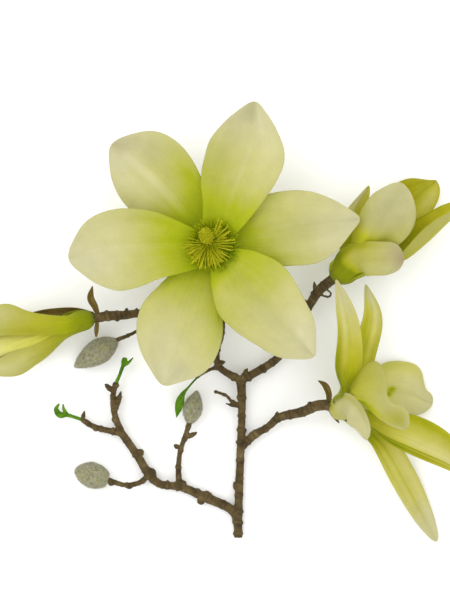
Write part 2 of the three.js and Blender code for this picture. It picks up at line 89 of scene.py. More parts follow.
def spread(tree, value, low, gain, clamp=True):
    # how far the value lies over low, times gain
    return doMaths(tree, "MULTIPLY", doMaths(tree, "SUBTRACT", value, low), gain, clamp)


def scaleBy(tree, vector, share):
    return addNode(tree, "ShaderNodeVectorMath", {0: vector, "Scale": share}, operation="SCALE")


def mixColour(tree, share, first, second):
    return addNode(tree, "ShaderNodeMix", {0: share, 6: first, 7: second}, 2, data_type="RGBA")


def noiseAt(tree, place, scale, detail, roughness=0.5):
    return addNode(tree, "ShaderNodeTexNoise", {"Vector": place, "Scale": scale, "Detail": detail,
                                                "Roughness": roughness})


def mapRange(tree, value, low, high, start=0.0, end=1.0):
    return addNode(tree, "ShaderNodeMapRange", {"Value": value, "From Min": low, "From Max": high,
                                                "To Min": start, "To Max": end})


def pieceNumber(tree, name):
    return addNode(tree, "ShaderNodeAttribute", output="Fac", attribute_name=name)


def newTree(kind, name, inputs, outputs):
    # a socket is given by its value, or by its kind where it has no value of its own
    tree = bpy.data.node_groups.new(name, kind)
    for side, sockets in (("INPUT", inputs), ("OUTPUT", outputs)):
        for label, value in sockets.items():
            sort = value if isinstance(value, str) else "Int" if isinstance(value, int) else "Float"
            socket = tree.interface.new_socket(label, in_out=side, socket_type=f"NodeSocket{sort}")
            if not isinstance(value, str):
                socket.default_value = value
    return tree, tree.nodes.new("NodeGroupInput").outputs, tree.nodes.new("NodeGroupOutput").inputs


def makeMottle():
    # soft cloudy changes of brightness, with finer specks in them
    tree, given, result = newTree("ShaderNodeTree", "mottle", {
        "Colour": "Color", "Place": "Vector", "Cloud Scale": 120.0, "Speck Scale": 1500.0,
        "Cloud Amount": 0.15, "Speck Amount": 0.1}, {"Colour": "Color", "Height": "Float"})
    cloud = noiseAt(tree, given["Place"], given["Cloud Scale"], 3.0, 0.55)
    speck = noiseAt(tree, given["Place"], given["Speck Scale"], 2.0, 0.7)
    both = doMaths(tree, "ADD", spread(tree, cloud, 0.5, given["Cloud Amount"], False),
                   spread(tree, speck, 0.5, given["Speck Amount"], False))
    bright = doMaths(tree, "ADD", doMaths(tree, "MULTIPLY", both, 4.0), 1.0)
    give(tree, result["Colour"], scaleBy(tree, given["Colour"], bright))
    give(tree, result["Height"], speck)
    return tree


def makeRibs():
    # fine ribs along a petal, leaf or scale: its map's first number is across, the second along
    tree, given, result = newTree("ShaderNodeTree", "ribs", {"Map": "Vector", "Ribs": 30.0, "Wander": 2.0},
                                  {"Mask": "Float", "Midrib": "Float"})
    stretch = addNode(tree, "ShaderNodeCombineXYZ", {"X": given["Ribs"], "Y": given["Wander"], "Z": 1.0})
    place = addNode(tree, "ShaderNodeVectorMath", {0: given["Map"], 1: stretch}, operation="MULTIPLY")
    give(tree, result["Mask"], noiseAt(tree, place, 1.0, 3.0, 0.6))
    across = addNode(tree, "ShaderNodeSeparateXYZ", {0: given["Map"]})
    away = doMaths(tree, "ABSOLUTE", doMaths(tree, "SUBTRACT", across, 0.5))
    give(tree, result["Midrib"], mapRange(tree, away, 0.0, 0.035, 1.0, 0.0))
    return tree


mottleGroup = makeMottle()
ribsGroup = makeRibs()


def makeMaterial(name, plain):
    # plain values go straight onto the shader's own sockets
    material = bpy.data.materials.new(name)
    material.use_nodes = True
    tree = material.node_tree
    shader = tree.nodes["Principled BSDF"]
    for key, value in plain.items():
        shader.inputs[key].default_value = value
    return material, tree, shader, addNode(tree, "ShaderNodeTexCoord", output="Object")


def mottle(tree, shader, colour, place, clouds, specks):
    # gives the shader its colour, with clouds and specks of the stated (scale, amount) in it
    mottled = addNode(tree, "ShaderNodeGroup", {
        "Colour": colour, "Place": place, "Cloud Scale": clouds[0], "Cloud Amount": clouds[1],
        "Speck Scale": specks[0], "Speck Amount": specks[1]}, None, node_tree=mottleGroup)
    give(tree, shader.inputs["Base Color"], mottled["Colour"])
    return mottled["Height"]


def addRibs(tree, ribs, wander):
    growth = addNode(tree, "ShaderNodeUVMap", uv_map="growth")
    return addNode(tree, "ShaderNodeGroup", {"Map": growth, "Ribs": ribs, "Wander": wander}, None,
                   node_tree=ribsGroup)


def addBump(tree, shader, height, strength, distance):
    normal = addNode(tree, "ShaderNodeBump",
                     {"Height": height, "Strength": strength, "Distance": distance * mm})
    give(tree, shader.inputs["Normal"], normal)


def placeObject(name, data):
    thing = bpy.data.objects.new(name, data)
    bpy.context.scene.collection.objects.link(thing)
    return thing


studio = {
    "cameraHeight": 3000,  # above the floor
    "cameraCentre": (0, 12.48),
    "frameHeight": 312,  # what the view's height takes in, at the height of the petals
    "petalHeight": 25,
    "sensor": 36,
    "sky": {"Color": (1, 1, 1, 1), "Strength": 1.45},
    "lampStrength": 3.6,  # watts
    "lampSize": 900,
    "lampPlace": (-700, 500, 1500),
    "floorSize": 12000,
    "floorLevel": -0.3,
    "floorColour": (250, 250, 249),
}


def placeCamera():
    camera = placeObject("camera", bpy.data.cameras.new("camera"))
    distance = studio["cameraHeight"] - studio["petalHeight"]
    camera.data.sensor_width = studio["sensor"]
    camera.data.lens = studio["sensor"] * distance / studio["frameHeight"]
    camera.data.clip_end = 100
    camera.location = [part * mm for part in (*studio["cameraCentre"], studio["cameraHeight"])]
    bpy.context.scene.camera = camera


def placeFloor():
    size, level = studio["floorSize"] * mm / 2, studio["floorLevel"] * mm
    mesh = bpy.data.meshes.new("floor")
    corners = [(-size, -size, level), (size, -size, level), (size, size, level), (-size, size, level)]
    mesh.from_pydata(corners, [], [(0, 1, 2, 3)])
    material, tree, shader, place = makeMaterial("floorPaper", {"Roughness": 0.9})
    mottle(tree, shader, paint(studio["floorColour"]), place, clouds=(1.0, 0.004), specks=(1500.0, 0.002))
    mesh.materials.append(material)
    floor = placeObject("floor", mesh)


def placeLights():
    world = bpy.data.worlds.new("softSky")
    bpy.context.scene.world = world
    world.use_nodes = True
    for key, value in studio["sky"].items():
        world.node_tree.nodes["Background"].inputs[key].default_value = value
    lamp = placeObject("softLamp", bpy.data.lights.new("softLamp", "AREA"))
    lamp.data.size = studio["lampSize"] * mm
    lamp.data.energy = studio["lampStrength"]
    lamp.location = Vector(studio["lampPlace"]) * mm
    lamp.rotation_mode = "QUATERNION"
    lamp.rotation_quaternion = (-lamp.location).to_track_quat("-Z", "Y")


placeCamera()
placeFloor()
placeLights()
bpy.context.scene.view_settings.view_transform = "Standard"
print("camera, floor and light placed")


# Shared shapes.

def along(values, u):
    # a smooth curve through the entries of a short list, read at u from 0 to 1
    values = np.asarray(values, float)
    last = len(values) - 1
    place = np.clip(u, 0, 1) * last
    i = np.minimum(np.floor(place).astype(int), last - 1)
    t = place - i
    before, after = values[np.maximum(i - 1, 0)], values[np.minimum(i + 2, last)]
    start, end = values[i], values[i + 1]
    bend = 2 * before - 5 * start + 4 * end - after
    turn = 3 * (start - end) + after - before
    return start + 0.5 * t * (end - before + t * (bend + t * turn))


def unit(vectors):
    vectors = np.asarray(vectors, float)
    return vectors / np.maximum(np.linalg.norm(vectors, axis=-1, keepdims=True), 1e-12)


def smoothstep(low, high, value):
    t = np.clip((np.asarray(value, float) - low) / (high - low), 0, 1)
    return t * t * (3 - 2 * t)


def smoothPath(points, steps=60):
    # a centripetal curve through the points, as close samples and how far along each lies, 0 to 1
    points = np.asarray(points, float)
    ends = [2 * points[0] - points[1]], [2 * points[-1] - points[-2]]
    points = np.vstack([ends[0], points, ends[1]])
    gaps = np.linalg.norm(np.diff(points, axis=0), axis=1) ** 0.5
    t = np.linspace(0, 1, steps, endpoint=False)[:, None]
    pieces = []
    for i in range(1, len(points) - 2):
        a, b, c, d = points[i - 1:i + 3]
        before, here, after = gaps[i - 1:i + 2]
        leave = ((b - a) / before - (c - a) / (before + here) + (c - b) / here) * here
        arrive = ((c - b) / here - (d - b) / (here + after) + (d - c) / after) * here
        pieces.append(b + leave * t + (-3 * b + 3 * c - 2 * leave - arrive) * t ** 2
                      + (2 * b - 2 * c + leave + arrive) * t ** 3)
    samples = np.vstack([*pieces, points[-2:-1]])
    walked = np.concatenate([[0], np.cumsum(np.linalg.norm(np.diff(samples, axis=0), axis=1))])
    return samples, walked / walked[-1], walked[-1]


def readPath(path, u):
    samples, share, _ = path
    return np.stack([np.interp(u, share, samples[:, k]) for k in range(3)], axis=-1)


def splitPoints(points):
    # points of (x, y, z, radius) as a smooth path and its radii
    return smoothPath([point[:3] for point in points]), [point[3] for point in points]


def squareTo(axis):
    # the axis and two directions square to it and to each other
    axis = unit(axis)
    first = unit(np.cross(axis, (0.37, 0.21, 0.9)))
    return axis, first, np.cross(axis, first)


def circle(first, second, sides):
    angle = np.linspace(0, 2 * math.pi, sides, endpoint=False)[:, None]
    return first * np.cos(angle) + second * np.sin(angle)


def closeRings(rows, sides, ends):
    # rings of points as a closed skin, with a single point at each end
    faces = []
    for ring in range(len(rows) - 1):
        for side in range(sides):
            a, b = ring * sides + side, ring * sides + (side + 1) % sides
            faces.append((a, b, b + sides, a + sides))
    top = (len(rows) - 1) * sides
    start, end = top + sides, top + sides + 1
    for side in range(sides):
        other = (side + 1) % sides
        faces += [(start, other, side), (end, top + side, top + other)]
    return np.vstack([*rows, *ends]), faces


def newPiece(name, points, faces):
    mesh = bpy.data.meshes.new(name)
    mesh.from_pydata((np.asarray(points) * mm).tolist(), [], faces)
    mesh.polygons.foreach_set("use_smooth", [True] * len(mesh.polygons))
    mesh.update()
    return placeObject(name, mesh)


def addNumbers(piece, name, values):
    layer = piece.data.attributes.new(name, "FLOAT", "POINT")
    layer.data.foreach_set("value", np.asarray(values, np.float32).ravel())


def addMap(piece, first, second):
    # a UV map from one pair of numbers for each vertex
    corners = np.empty(len(piece.data.loops), int)
    piece.data.loops.foreach_get("vertex_index", corners)
    pairs = np.stack([np.ravel(first), np.ravel(second)], axis=1)[corners]
    piece.data.uv_layers.new(name="growth").data.foreach_set("uv", pairs.astype(np.float32).ravel())


def readPoints(piece):
    both = []
    for what in ("co", "normal"):
        numbers = np.empty(len(piece.data.vertices) * 3)
        piece.data.vertices.foreach_get(what, numbers)
        both.append(numbers.reshape(-1, 3))
    return both[0] / mm, both[1]


def writePoints(piece, places):
    # nothing reaches below the surface that the branch lies on
    places = np.column_stack([places[:, :2], np.maximum(places[:, 2], 0.05)])
    piece.data.vertices.foreach_set("co", (places * mm).ravel())
    piece.data.update()


def pushOut(piece, push):
    # moves each point along its normal, by what push gives for its place
    places, normals = readPoints(piece)
    writePoints(piece, places + normals * push(places)[:, None])


def cloudAt(places, scale, seed=0.0):
    # smooth noise from -1 to 1 at each place
    return np.array([noise.noise(Vector(place)) for place in places * scale + seed])


def finishPiece(piece, material, slot, *nodes):
    piece.data.materials.clear()
    piece.data.materials.append(material)
    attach(piece, "root")
    if nodes:
        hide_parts(*nodes)


def bakeModifiers(piece):
    # keeps the piece's finished mesh and takes its modifiers off
    bpy.context.view_layer.update()
    shown = piece.evaluated_get(bpy.context.evaluated_depsgraph_get())
    mesh = bpy.data.meshes.new_from_object(shown)
    old = piece.data
    piece.modifiers.clear()
    piece.data = mesh
    bpy.data.meshes.remove(old)


def melt(piece, voxel):
    # one closed skin round everything in the piece
    skin = piece.modifiers.new("skin", "REMESH")
    skin.mode = "VOXEL"
    skin.voxel_size = voxel * mm
    skin.use_smooth_shade = True
    bakeModifiers(piece)


# Petals.

petalDetail = {
    "rows": 60,
    "columns": 30,
    "thickness": 0.55,
    "rimThickness": 0.2,
    "leastHalfWidth": 0.15,
    "crease": 0.35,  # depth of the groove along the middle
    "creaseWidth": 0.06,
    "pleats": 0.32,  # height of the soft folds that run along
    "pleatCount": 5,
    "rimWave": 0.9,
    "rimRoll": 0.5,
    "rollStart": 0.72,
    "tipPinch": 1.2,
    "pinchWidth": 2.2,
    "pinchStart": 0.8,
    "fullSize": 12,  # half width that has relief of the stated height
    "blunt": 8,  # how late the outline closes towards the tip
}


def sideWidths(shape):
    return [shape.get(side, shape.get("wide")) for side in ("left", "right")]


def petalGrid(name, shape):
    # a petal's middle surface as rows of points, with where each lies along (0 to 1) and across (-1 to 1)
    detail = {**petalDetail, **shape.get("detail", {})}
    draws = np.random.default_rng(zlib.crc32(name.encode()))
    u = np.sin(np.linspace(0, 1, detail["rows"] + 1) * math.pi / 2)
    v = np.linspace(-1, 1, detail["columns"] + 1)
    v = np.sign(v) * (1 - (1 - np.abs(v)) ** 1.15)  # closer together at the rims
    across, onward = np.meshgrid(v, u)
    path = smoothPath(shape["spine"])
    centre = readPath(path, u)
    small = 1e-3
    tangent = unit(readPath(path, np.minimum(u + small, 1)) - readPath(path, np.maximum(u - small, 0)))
    turn = smoothstep(0, 0.5, u)[:, None]
    inner = unit(shape.get("baseFace", shape["face"])) * (1 - turn) + unit(shape["face"]) * turn
    inner = unit(inner - tangent * np.sum(inner * tangent, axis=1, keepdims=True))
    side = np.cross(tangent, inner)

    close = np.sqrt(np.maximum(1 - u ** shape.get("blunt", detail["blunt"]), 0))
    curl = np.radians(np.maximum(along(shape["cup"], u), 1))[:, None]
    left, right = (along(width, u)[:, None] for width in sideWidths(shape))
    half = np.maximum(np.where(across < 0, left, right) * close[:, None], detail["leastHalfWidth"])
    out = half * np.sin(curl * across) / curl
    lift = half * (1 - np.cos(curl * across)) / curl

    # relief towards the inner side
    body = np.sin(math.pi * np.clip(onward * 0.94 + 0.06, 0, 1)) ** 0.7
    size = np.clip(half / detail["fullSize"], 0.12, 1.4)
    relief = np.zeros_like(lift)
    for k in range(detail["pleatCount"]):
        height = detail["pleats"] * draws.uniform(0.4, 1) / (1 + 0.35 * k)
        phase, drift = draws.uniform(0, 2 * math.pi), draws.uniform(-1.5, 1.5)
        relief += height * np.sin(across * math.pi * (1.3 + 0.9 * k) + phase + drift * onward) * body * size
    for edge in (-1, 1):
        waves, phase = draws.uniform(1.2, 2.4), draws.uniform(0, 2 * math.pi)
        near = np.clip(across * edge, 0, 1) ** 3
        relief += detail["rimWave"] * near * np.sin(2 * math.pi * waves * onward + phase) * body * size
        relief -= detail["rimRoll"] * smoothstep(detail["rollStart"], 1, across * edge) * body * size
    groove = np.exp(-(across / detail["creaseWidth"]) ** 2) * smoothstep(0.02, 0.15, onward)
    relief -= detail["crease"] * groove * (1 - 0.6 * onward)
    pinch = np.exp(-(across * half / detail["pinchWidth"]) ** 2) * smoothstep(detail["pinchStart"], 1, onward)
    relief -= detail["tipPinch"] * pinch * size
    points = (centre[:, None, :] + side[:, None, :] * out[..., None]
              + inner[:, None, :] * (lift + relief)[..., None])
    return points, across, onward, detail


def closedSheet(points, thick):
    # a grid of points thickened into a closed sheet: inner side first, then the outer side
    normal = unit(np.cross(np.gradient(points, axis=1), np.gradient(points, axis=0)))
    out = normal * thick[..., None] / 2
    both = np.concatenate([(points + out).reshape(-1, 3), (points - out).reshape(-1, 3)])
    index = np.arange(thick.size).reshape(thick.shape)
    a, b, c, d = index[:-1, :-1], index[:-1, 1:], index[1:, 1:], index[1:, :-1]
    faces = np.stack([a, b, c, d], -1).reshape(-1, 4).tolist()
    faces += (np.stack([a, d, c, b], -1).reshape(-1, 4) + thick.size).tolist()
    for rim in (index[:, 0], index[::-1, -1], index[0, ::-1], index[-1]):
        faces += np.stack([rim[:-1], rim[1:], rim[1:] + thick.size, rim[:-1] + thick.size], -1).tolist()
    return both, faces


def addSpots(start, spots, onward, across, amount):
    # soft spots of (along, across, long, wide, amounts), added to what is there at the start
    return sum((spot[amount] * np.exp(-((onward - spot[0]) / spot[2]) ** 2
                                      - ((across - spot[1]) / spot[3]) ** 2) for spot in spots), start)


def makePetal(name, shape, material, slot):
    points, across, onward, detail = petalGrid(name, shape)
    rim = np.minimum(1 - np.abs(across), (1 - onward) * 4)
    thick = detail["rimThickness"] + (detail["thickness"] - detail["rimThickness"]) * smoothstep(0, 0.25, rim)
    piece = newPiece(name, *closedSheet(points, thick))
    addMap(piece, np.tile(across.ravel() / 2 + 0.5, 2), np.tile(onward.ravel(), 2))
    start, end = shape.get("tone", (0.0, 1.0))  # where the green starts and where the palest colour is
    paleness = np.clip((onward - start) / (end - start), 0, 1)
    none, spots = np.zeros_like(onward), shape.get("spots", [])
    numbers = {
        "paleness": np.clip(addSpots(paleness, spots, onward, across, 4), 0, 1),
        # painted light and shade: the brightness that the spots add
        "shade": addSpots(none, spots, onward, across, 5),
        "warmth": none + shape.get("warm", 0),
        "blush": addSpots(none, shape.get("blush", []), onward, across, 4),
    }
    for key, values in numbers.items():
        addNumbers(piece, key, np.tile(values.ravel(), 2))
    addNumbers(piece, "outerSide", np.repeat([0, 1], across.size))
    finishPiece(piece, material, slot, name)


petalColours = {
    "innerStops": [(0.0, (158, 174, 0)), (0.1, (168, 181, 0)), (0.22, (179, 186, 34)), (0.36, (190, 191, 84)),
                   (0.55, (200, 197, 120)), (0.78, (207, 202, 143)), (1.0, (208, 203, 157))],
    "warmStops": [(0.0, (138, 148, 0)), (0.16, (164, 168, 0)), (0.36, (182, 178, 12)), (0.6, (200, 194, 70)),
                  (0.8, (206, 200, 112)), (1.0, (208, 203, 148))],
    "outerStops": [(0.0, (134, 144, 0)), (0.14, (162, 168, 0)), (0.34, (180, 178, 44)),
                   (0.65, (192, 188, 106)), (1.0, (206, 201, 144))],
    "midrib": (140, 150, 40),
    "blush": (176, 160, 120),
    "light": 0.685,  # the studio's light is this much too bright for plain colours
}


def makePetalMaterial():
    material, tree, shader, place = makeMaterial("silkyPetal", {
        "Roughness": 0.6, "Specular IOR Level": 0.1, "Sheen Weight": 0.03, "Sheen Roughness": 0.5})
    ribs = addRibs(tree, 34.0, 1.6)
    cloud = spread(tree, noiseAt(tree, place, 60.0, 3.0), 0.5, 0.3, False)
    tone = doMaths(tree, "ADD", doMaths(tree, "ADD", pieceNumber(tree, "paleness"), cloud),
                   spread(tree, ribs["Mask"], 0.5, 0.2, False), True)
    light = petalColours["light"]
    inside, warm, outside = (addRamp(tree, tone, petalColours[stops], light)
                             for stops in ("innerStops", "warmStops", "outerStops"))
    colour = mixColour(tree, pieceNumber(tree, "warmth"), inside, warm)
    colour = mixColour(tree, pieceNumber(tree, "outerSide"), colour, outside)
    midrib = doMaths(tree, "MULTIPLY", ribs["Midrib"], 0.1)
    colour = mixColour(tree, midrib, colour, paint(petalColours["midrib"]))
    colour = mixColour(tree, pieceNumber(tree, "blush"), colour, paint(petalColours["blush"], light))
    # painted light and shade: the spots' brightness scales the colour
    colour = scaleBy(tree, colour, doMaths(tree, "ADD", pieceNumber(tree, "shade"), 1.0))
    specks = mottle(tree, shader, colour, place, clouds=(150.0, 0.05), specks=(1400.0, 0.03))
    height = doMaths(tree, "ADD", doMaths(tree, "MULTIPLY", ribs["Mask"], 0.8),
                     doMaths(tree, "MULTIPLY", specks, 0.2))
    addBump(tree, shader, height, 0.5, 0.35)
    return material


petalMaterial = makePetalMaterial()

bloom = {"foot": (-6.2, 41, 26)}
# the brightness that the spots add is painted light and shade: darker where shadow falls, lighter for painted
# highlights on folds and ridges, and to lift parts that lie in shade
mainPetals = {  # spots: along, across, long, wide, paleness added, brightness added
    "main_inner_top": {
        "spine": [(-4.7, 46.3, 9.3), (-1, 56, 12), (5.6, 74, 15.5), (12, 92, 17.5), (15.6, 115, 17)],
        "left": [8.5, 12, 17.5, 20, 20.5, 16.5, 9], "right": [8.5, 13, 17, 19.8, 20.5, 14.5, 8],
        "cup": [35, 22, 20, 30],
        "spots": [(0.5, -0.7, 0.4, 0.5, -0.05, -0.1), (0.65, 0.6, 0.3, 0.4, 0.1, 0.08),
                  (0.93, -0.25, 0.1, 0.6, 0, -0.17), (0.9, 0.35, 0.1, 0.12, 0.2, 0.12),
                  (0.55, 0.03, 0.25, 0.06, 0.12, 0.07)],
    },
    "main_inner_left": {
        "spine": [(-11.7, 40.6, 9.3), (-22, 40, 11.6), (-40, 39.4, 15), (-60, 38, 17), (-80.8, 34, 16.5)],
        "left": [11.5, 14, 16.5, 20.5, 22, 18.5, 11], "right": [8, 13.5, 18.5, 21, 21.5, 19, 12],
        "cup": [35, 22, 20, 30],
        "spots": [(0.28, 0.2, 0.16, 0.6, -0.1, 0), (0.75, -0.1, 0.2, 0.5, 0.15, 0.03),
                  (0.12, -0.5, 0.12, 0.5, -0.05, -0.12), (0.5, 0.8, 0.3, 0.15, -0.05, -0.05),
                  (0.6, 0.02, 0.25, 0.07, 0.1, 0.05)],
    },
    "main_inner_right": {
        "spine": [(-2.8, 36.7, 9.3), (5, 28, 11.6), (17, 14, 15), (30, 0, 17), (46.2, -16.6, 16.5)],
        "left": [6, 15, 20.5, 20.3, 17.4, 14.4, 7], "right": [8, 16, 21.5, 20.8, 18, 15.5, 9],
        "cup": [35, 22, 20, 30],
        "spots": [(0.25, 0.6, 0.15, 0.4, 0.18, 0.02), (0.45, 0.1, 0.25, 0.25, 0.06, -0.1),
                  (0.93, 0.1, 0.09, 0.3, 0.2, -0.12), (0.9, -0.25, 0.12, 0.22, 0.25, 0.12),
                  (0.7, -0.6, 0.25, 0.3, 0.1, 0.06), (0.12, -0.2, 0.12, 0.5, 0.1, 0.03)],
    },
    "main_outer_left": {
        "spine": [(-9.7, 44.9, 5.6), (-18, 54, 6.6), (-29, 66.5, 9), (-42, 79, 10.6), (-58.8, 93, 10)],
        "left": [8, 13, 17, 19.5, 19.2, 16, 9.5], "right": [8, 13, 18, 22, 23.5, 21.5, 14],
        "cup": [30, 18, 14, 26],
        "spots": [(0.5, 0.7, 0.25, 0.35, -0.18, -0.02), (0.75, 0.5, 0.14, 0.3, 0, -0.1),
                  (0.2, 0.1, 0.15, 0.8, -0.12, -0.02), (0.7, 0, 0.28, 0.1, 0.25, 0.12),
                  (0.93, 0.1, 0.05, 0.3, 0.2, -0.06), (0.72, -0.5, 0.2, 0.35, 0.15, 0.06)],
        "blush": [(1, 0.3, 0.14, 0.6, 0.35)],
    },
    "main_outer_bottom": {
        "spine": [(-7.9, 36.1, 5.6), (-12, 26, 6.6), (-17, 10, 9), (-23.5, -9, 10.6), (-32, -31.6, 10)],
        "left": [8, 12, 15, 19.8, 21.2, 19, 9], "right": [9, 14, 20, 24.8, 24.5, 19.5, 10],
        "cup": [30, 18, 14, 26],
        "spots": [(0.5, -0.8, 0.3, 0.3, -0.16, 0), (0.6, 0.3, 0.25, 0.5, 0.12, 0.03),
                  (0.88, -0.35, 0.1, 0.3, 0.1, -0.1), (0.93, 0.1, 0.08, 0.25, 0.15, 0.08)],
    },
    "main_outer_right": {
        "spine": [(-1.1, 41.9, 5.6), (9, 44, 6.6), (26, 48, 9), (46, 52, 11.6), (69.8, 54.4, 13)],
        "left": [8, 15, 19.3, 19.8, 17.6, 12.5, 7], "right": [8, 12.5, 17.5, 20, 20.8, 16.5, 7],
        "cup": [30, 18, 14, 26],
        "spots": [(0.62, 0.05, 0.25, 0.35, 0.08, -0.11), (0.5, 0.8, 0.3, 0.2, -0.06, -0.08),
                  (0.75, 0.55, 0.2, 0.3, 0.12, 0.05), (0.5, -0.6, 0.25, 0.3, 0.05, 0.05),
                  (0.95, 0, 0.06, 0.4, 0.1, -0.08)],
    },
}
for name, shape in mainPetals.items():
    makePetal(name, {"face": up, **shape, "spine": np.add(shape["spine"], (0, 0, bloom["foot"][2]))},
              petalMaterial, "petal")
print("main bloom's petals made")


# Side flowers: petals stand on a receptacle whose top faces along the flower's axis.

joint = {"gap": 0.55, "petalFoot": 2.4, "wrapDepth": 0.8, "wrapWidth": 0.95, "wrapCurl": 58}


def makeFlower(title, flower):
    axis = unit(flower["axis"])
    top = flower["limbEnd"] + axis * (joint["gap"] + flower["height"])
    front = unit(up - axis * axis[2])
    foot = joint["wrapWidth"] * flower["wide"]
    low, high = joint["wrapDepth"] * flower["height"], flower["wide"] + joint["gap"]
    for name, shape in flower["petals"].items():
        turn = math.radians(shape["turn"])
        outward = front * math.cos(turn) + np.cross(axis, front) * math.sin(turn)
        full = {"baseFace": -outward, "warm": 0.85, **shape}
        if "ring" in shape:  # an inner petal's foot stands in the cup, this far from its middle
            start = top + outward * shape["ring"]
            feet = [start, start + axis * joint["petalFoot"]]
        else:  # an outer petal's foot wraps the cup
            feet = [top - axis * low + outward * high * 0.62, top - axis * low * 0.45 + outward * high * 0.94,
                    top + axis * joint["petalFoot"] * 0.6 + outward * high]
            full["left"], full["right"] = ([foot, max(foot, width[0]), *width[1:]]
                                           for width in sideWidths(shape))
            full["cup"] = [joint["wrapCurl"], *shape["cup"]]
        full["spine"] = [*feet, *shape["through"]]
        makePetal(f"{title}_{name}", full, petalMaterial, "petal")
    print(title, "flower made")


# spots in the side flowers work as in the main bloom: the brightness that they add is painted light and shade
upperFlower = {
    "limbEnd": (55.8, 23.2, 18.6), "axis": (0.75, 0.63, 0.2), "height": 6, "wide": 6.6,
    "petals": {
        "front_petal": {
            "turn": 330, "ring": 2.6,
            "through": [(66, 36, 31), (75.4, 47.6, 36.5), (84.8, 60.6, 37), (92, 73, 32.5)],
            "face": (0.1, 0, -1), "left": [2, 5, 13, 18, 18, 14], "right": [2, 4.6, 9, 12.5, 13, 10],
            "cup": [60, 48, 45, 40],
            "spots": [(0.35, -0.6, 0.3, 0.4, -0.3, 0), (0.75, 0, 0.3, 0.8, 0.3, -0.19),
                      (0.41, 0.2, 0.09, 0.8, -0.2, 0.28), (0.6, 0.9, 0.3, 0.2, -0.1, 0.04)],
        },
        "low_petal": {
            "turn": 12, "through": [(67.4, 32, 33), (73.4, 33.4, 39.4), (84, 33.6, 42), (92.6, 33.2, 38.6)],
            "face": (0, 0, -1), "left": [8.8, 9.2, 9.2, 9, 7], "right": [9.4, 10.4, 10, 9.8, 9.4],
            "cup": [38, 40, 40], "blunt": 24,
            "spots": [(0.5, -0.6, 0.4, 0.4, 0.15, 0.02), (0.5, 0.8, 0.4, 0.3, -0.2, -0.06),
                      (0.12, 0, 0.2, 1.6, -0.5, 0.1), (0.32, 0.2, 0.14, 0.7, 0.24, 0.1),
                      (1, 0, 0.3, 1.5, -0.05, -0.12)],
            "blush": [(1, 0.1, 0.16, 0.8, 0.9)],
        },
        "high_petal": {
            "turn": 205, "ring": 2.6,
            "through": [(79.6, 40, 9), (90, 53, 3.4), (98.8, 63.4, 2), (110.4, 75.2, 5)],
            "face": (-0.2, 0.1, 1), "left": [2, 5, 8.4, 10.5, 12.6, 14, 14.2, 10.6, 1.6],
            "right": [2, 4, 6.4, 10, 12.2, 12.8, 12.2, 10.6, 8], "cup": [50, 36, 25, 30], "blunt": 26,
            "tone": (0.0, 1.9), "warm": 1,
            "spots": [(0.75, -0.5, 0.2, 0.5, -0.12, 0.02), (0.85, 0.5, 0.14, 0.4, 0.3, 0.1)],
        },
        "right_petal": {
            "turn": 118,
            "through": [(80, 30.4, 20), (92.4, 34.4, 19), (104, 43.2, 18.5), (116, 54, 19.5),
                        (129.6, 66, 22)],
            "face": (-0.55, 0.66, 0.36), "left": [7, 14, 16, 12, 4], "right": [12, 15, 16, 12, 5],
            "cup": [66, 84, 84, 60], "tone": (0, 2), "warm": 1,
            "spots": [(0.75, -0.3, 0.3, 0.6, 0, 0.3), (0.6, 0.8, 0.5, 0.3, 0.25, -0.14)],
        },
        "left_petal": {
            "turn": 262, "through": [(60.5, 38, 19), (63, 48, 18), (68.5, 61, 17.5), (75, 72, 18.5)],
            "face": (0.7, -0.35, 0.6), "left": [7, 9, 9, 7, 4], "right": [9, 10, 9, 7, 4],
            "cup": [40, 30, 30], "tone": (0.1, 1.2),
            "spots": [(0.7, -0.6, 0.6, 0.6, 0.3, 0.75), (0.6, 0.6, 0.6, 0.4, -0.3, 0.75),
                      (0.3, 0, 0.25, 1.2, 0, 0.5)],
        },
    },
}
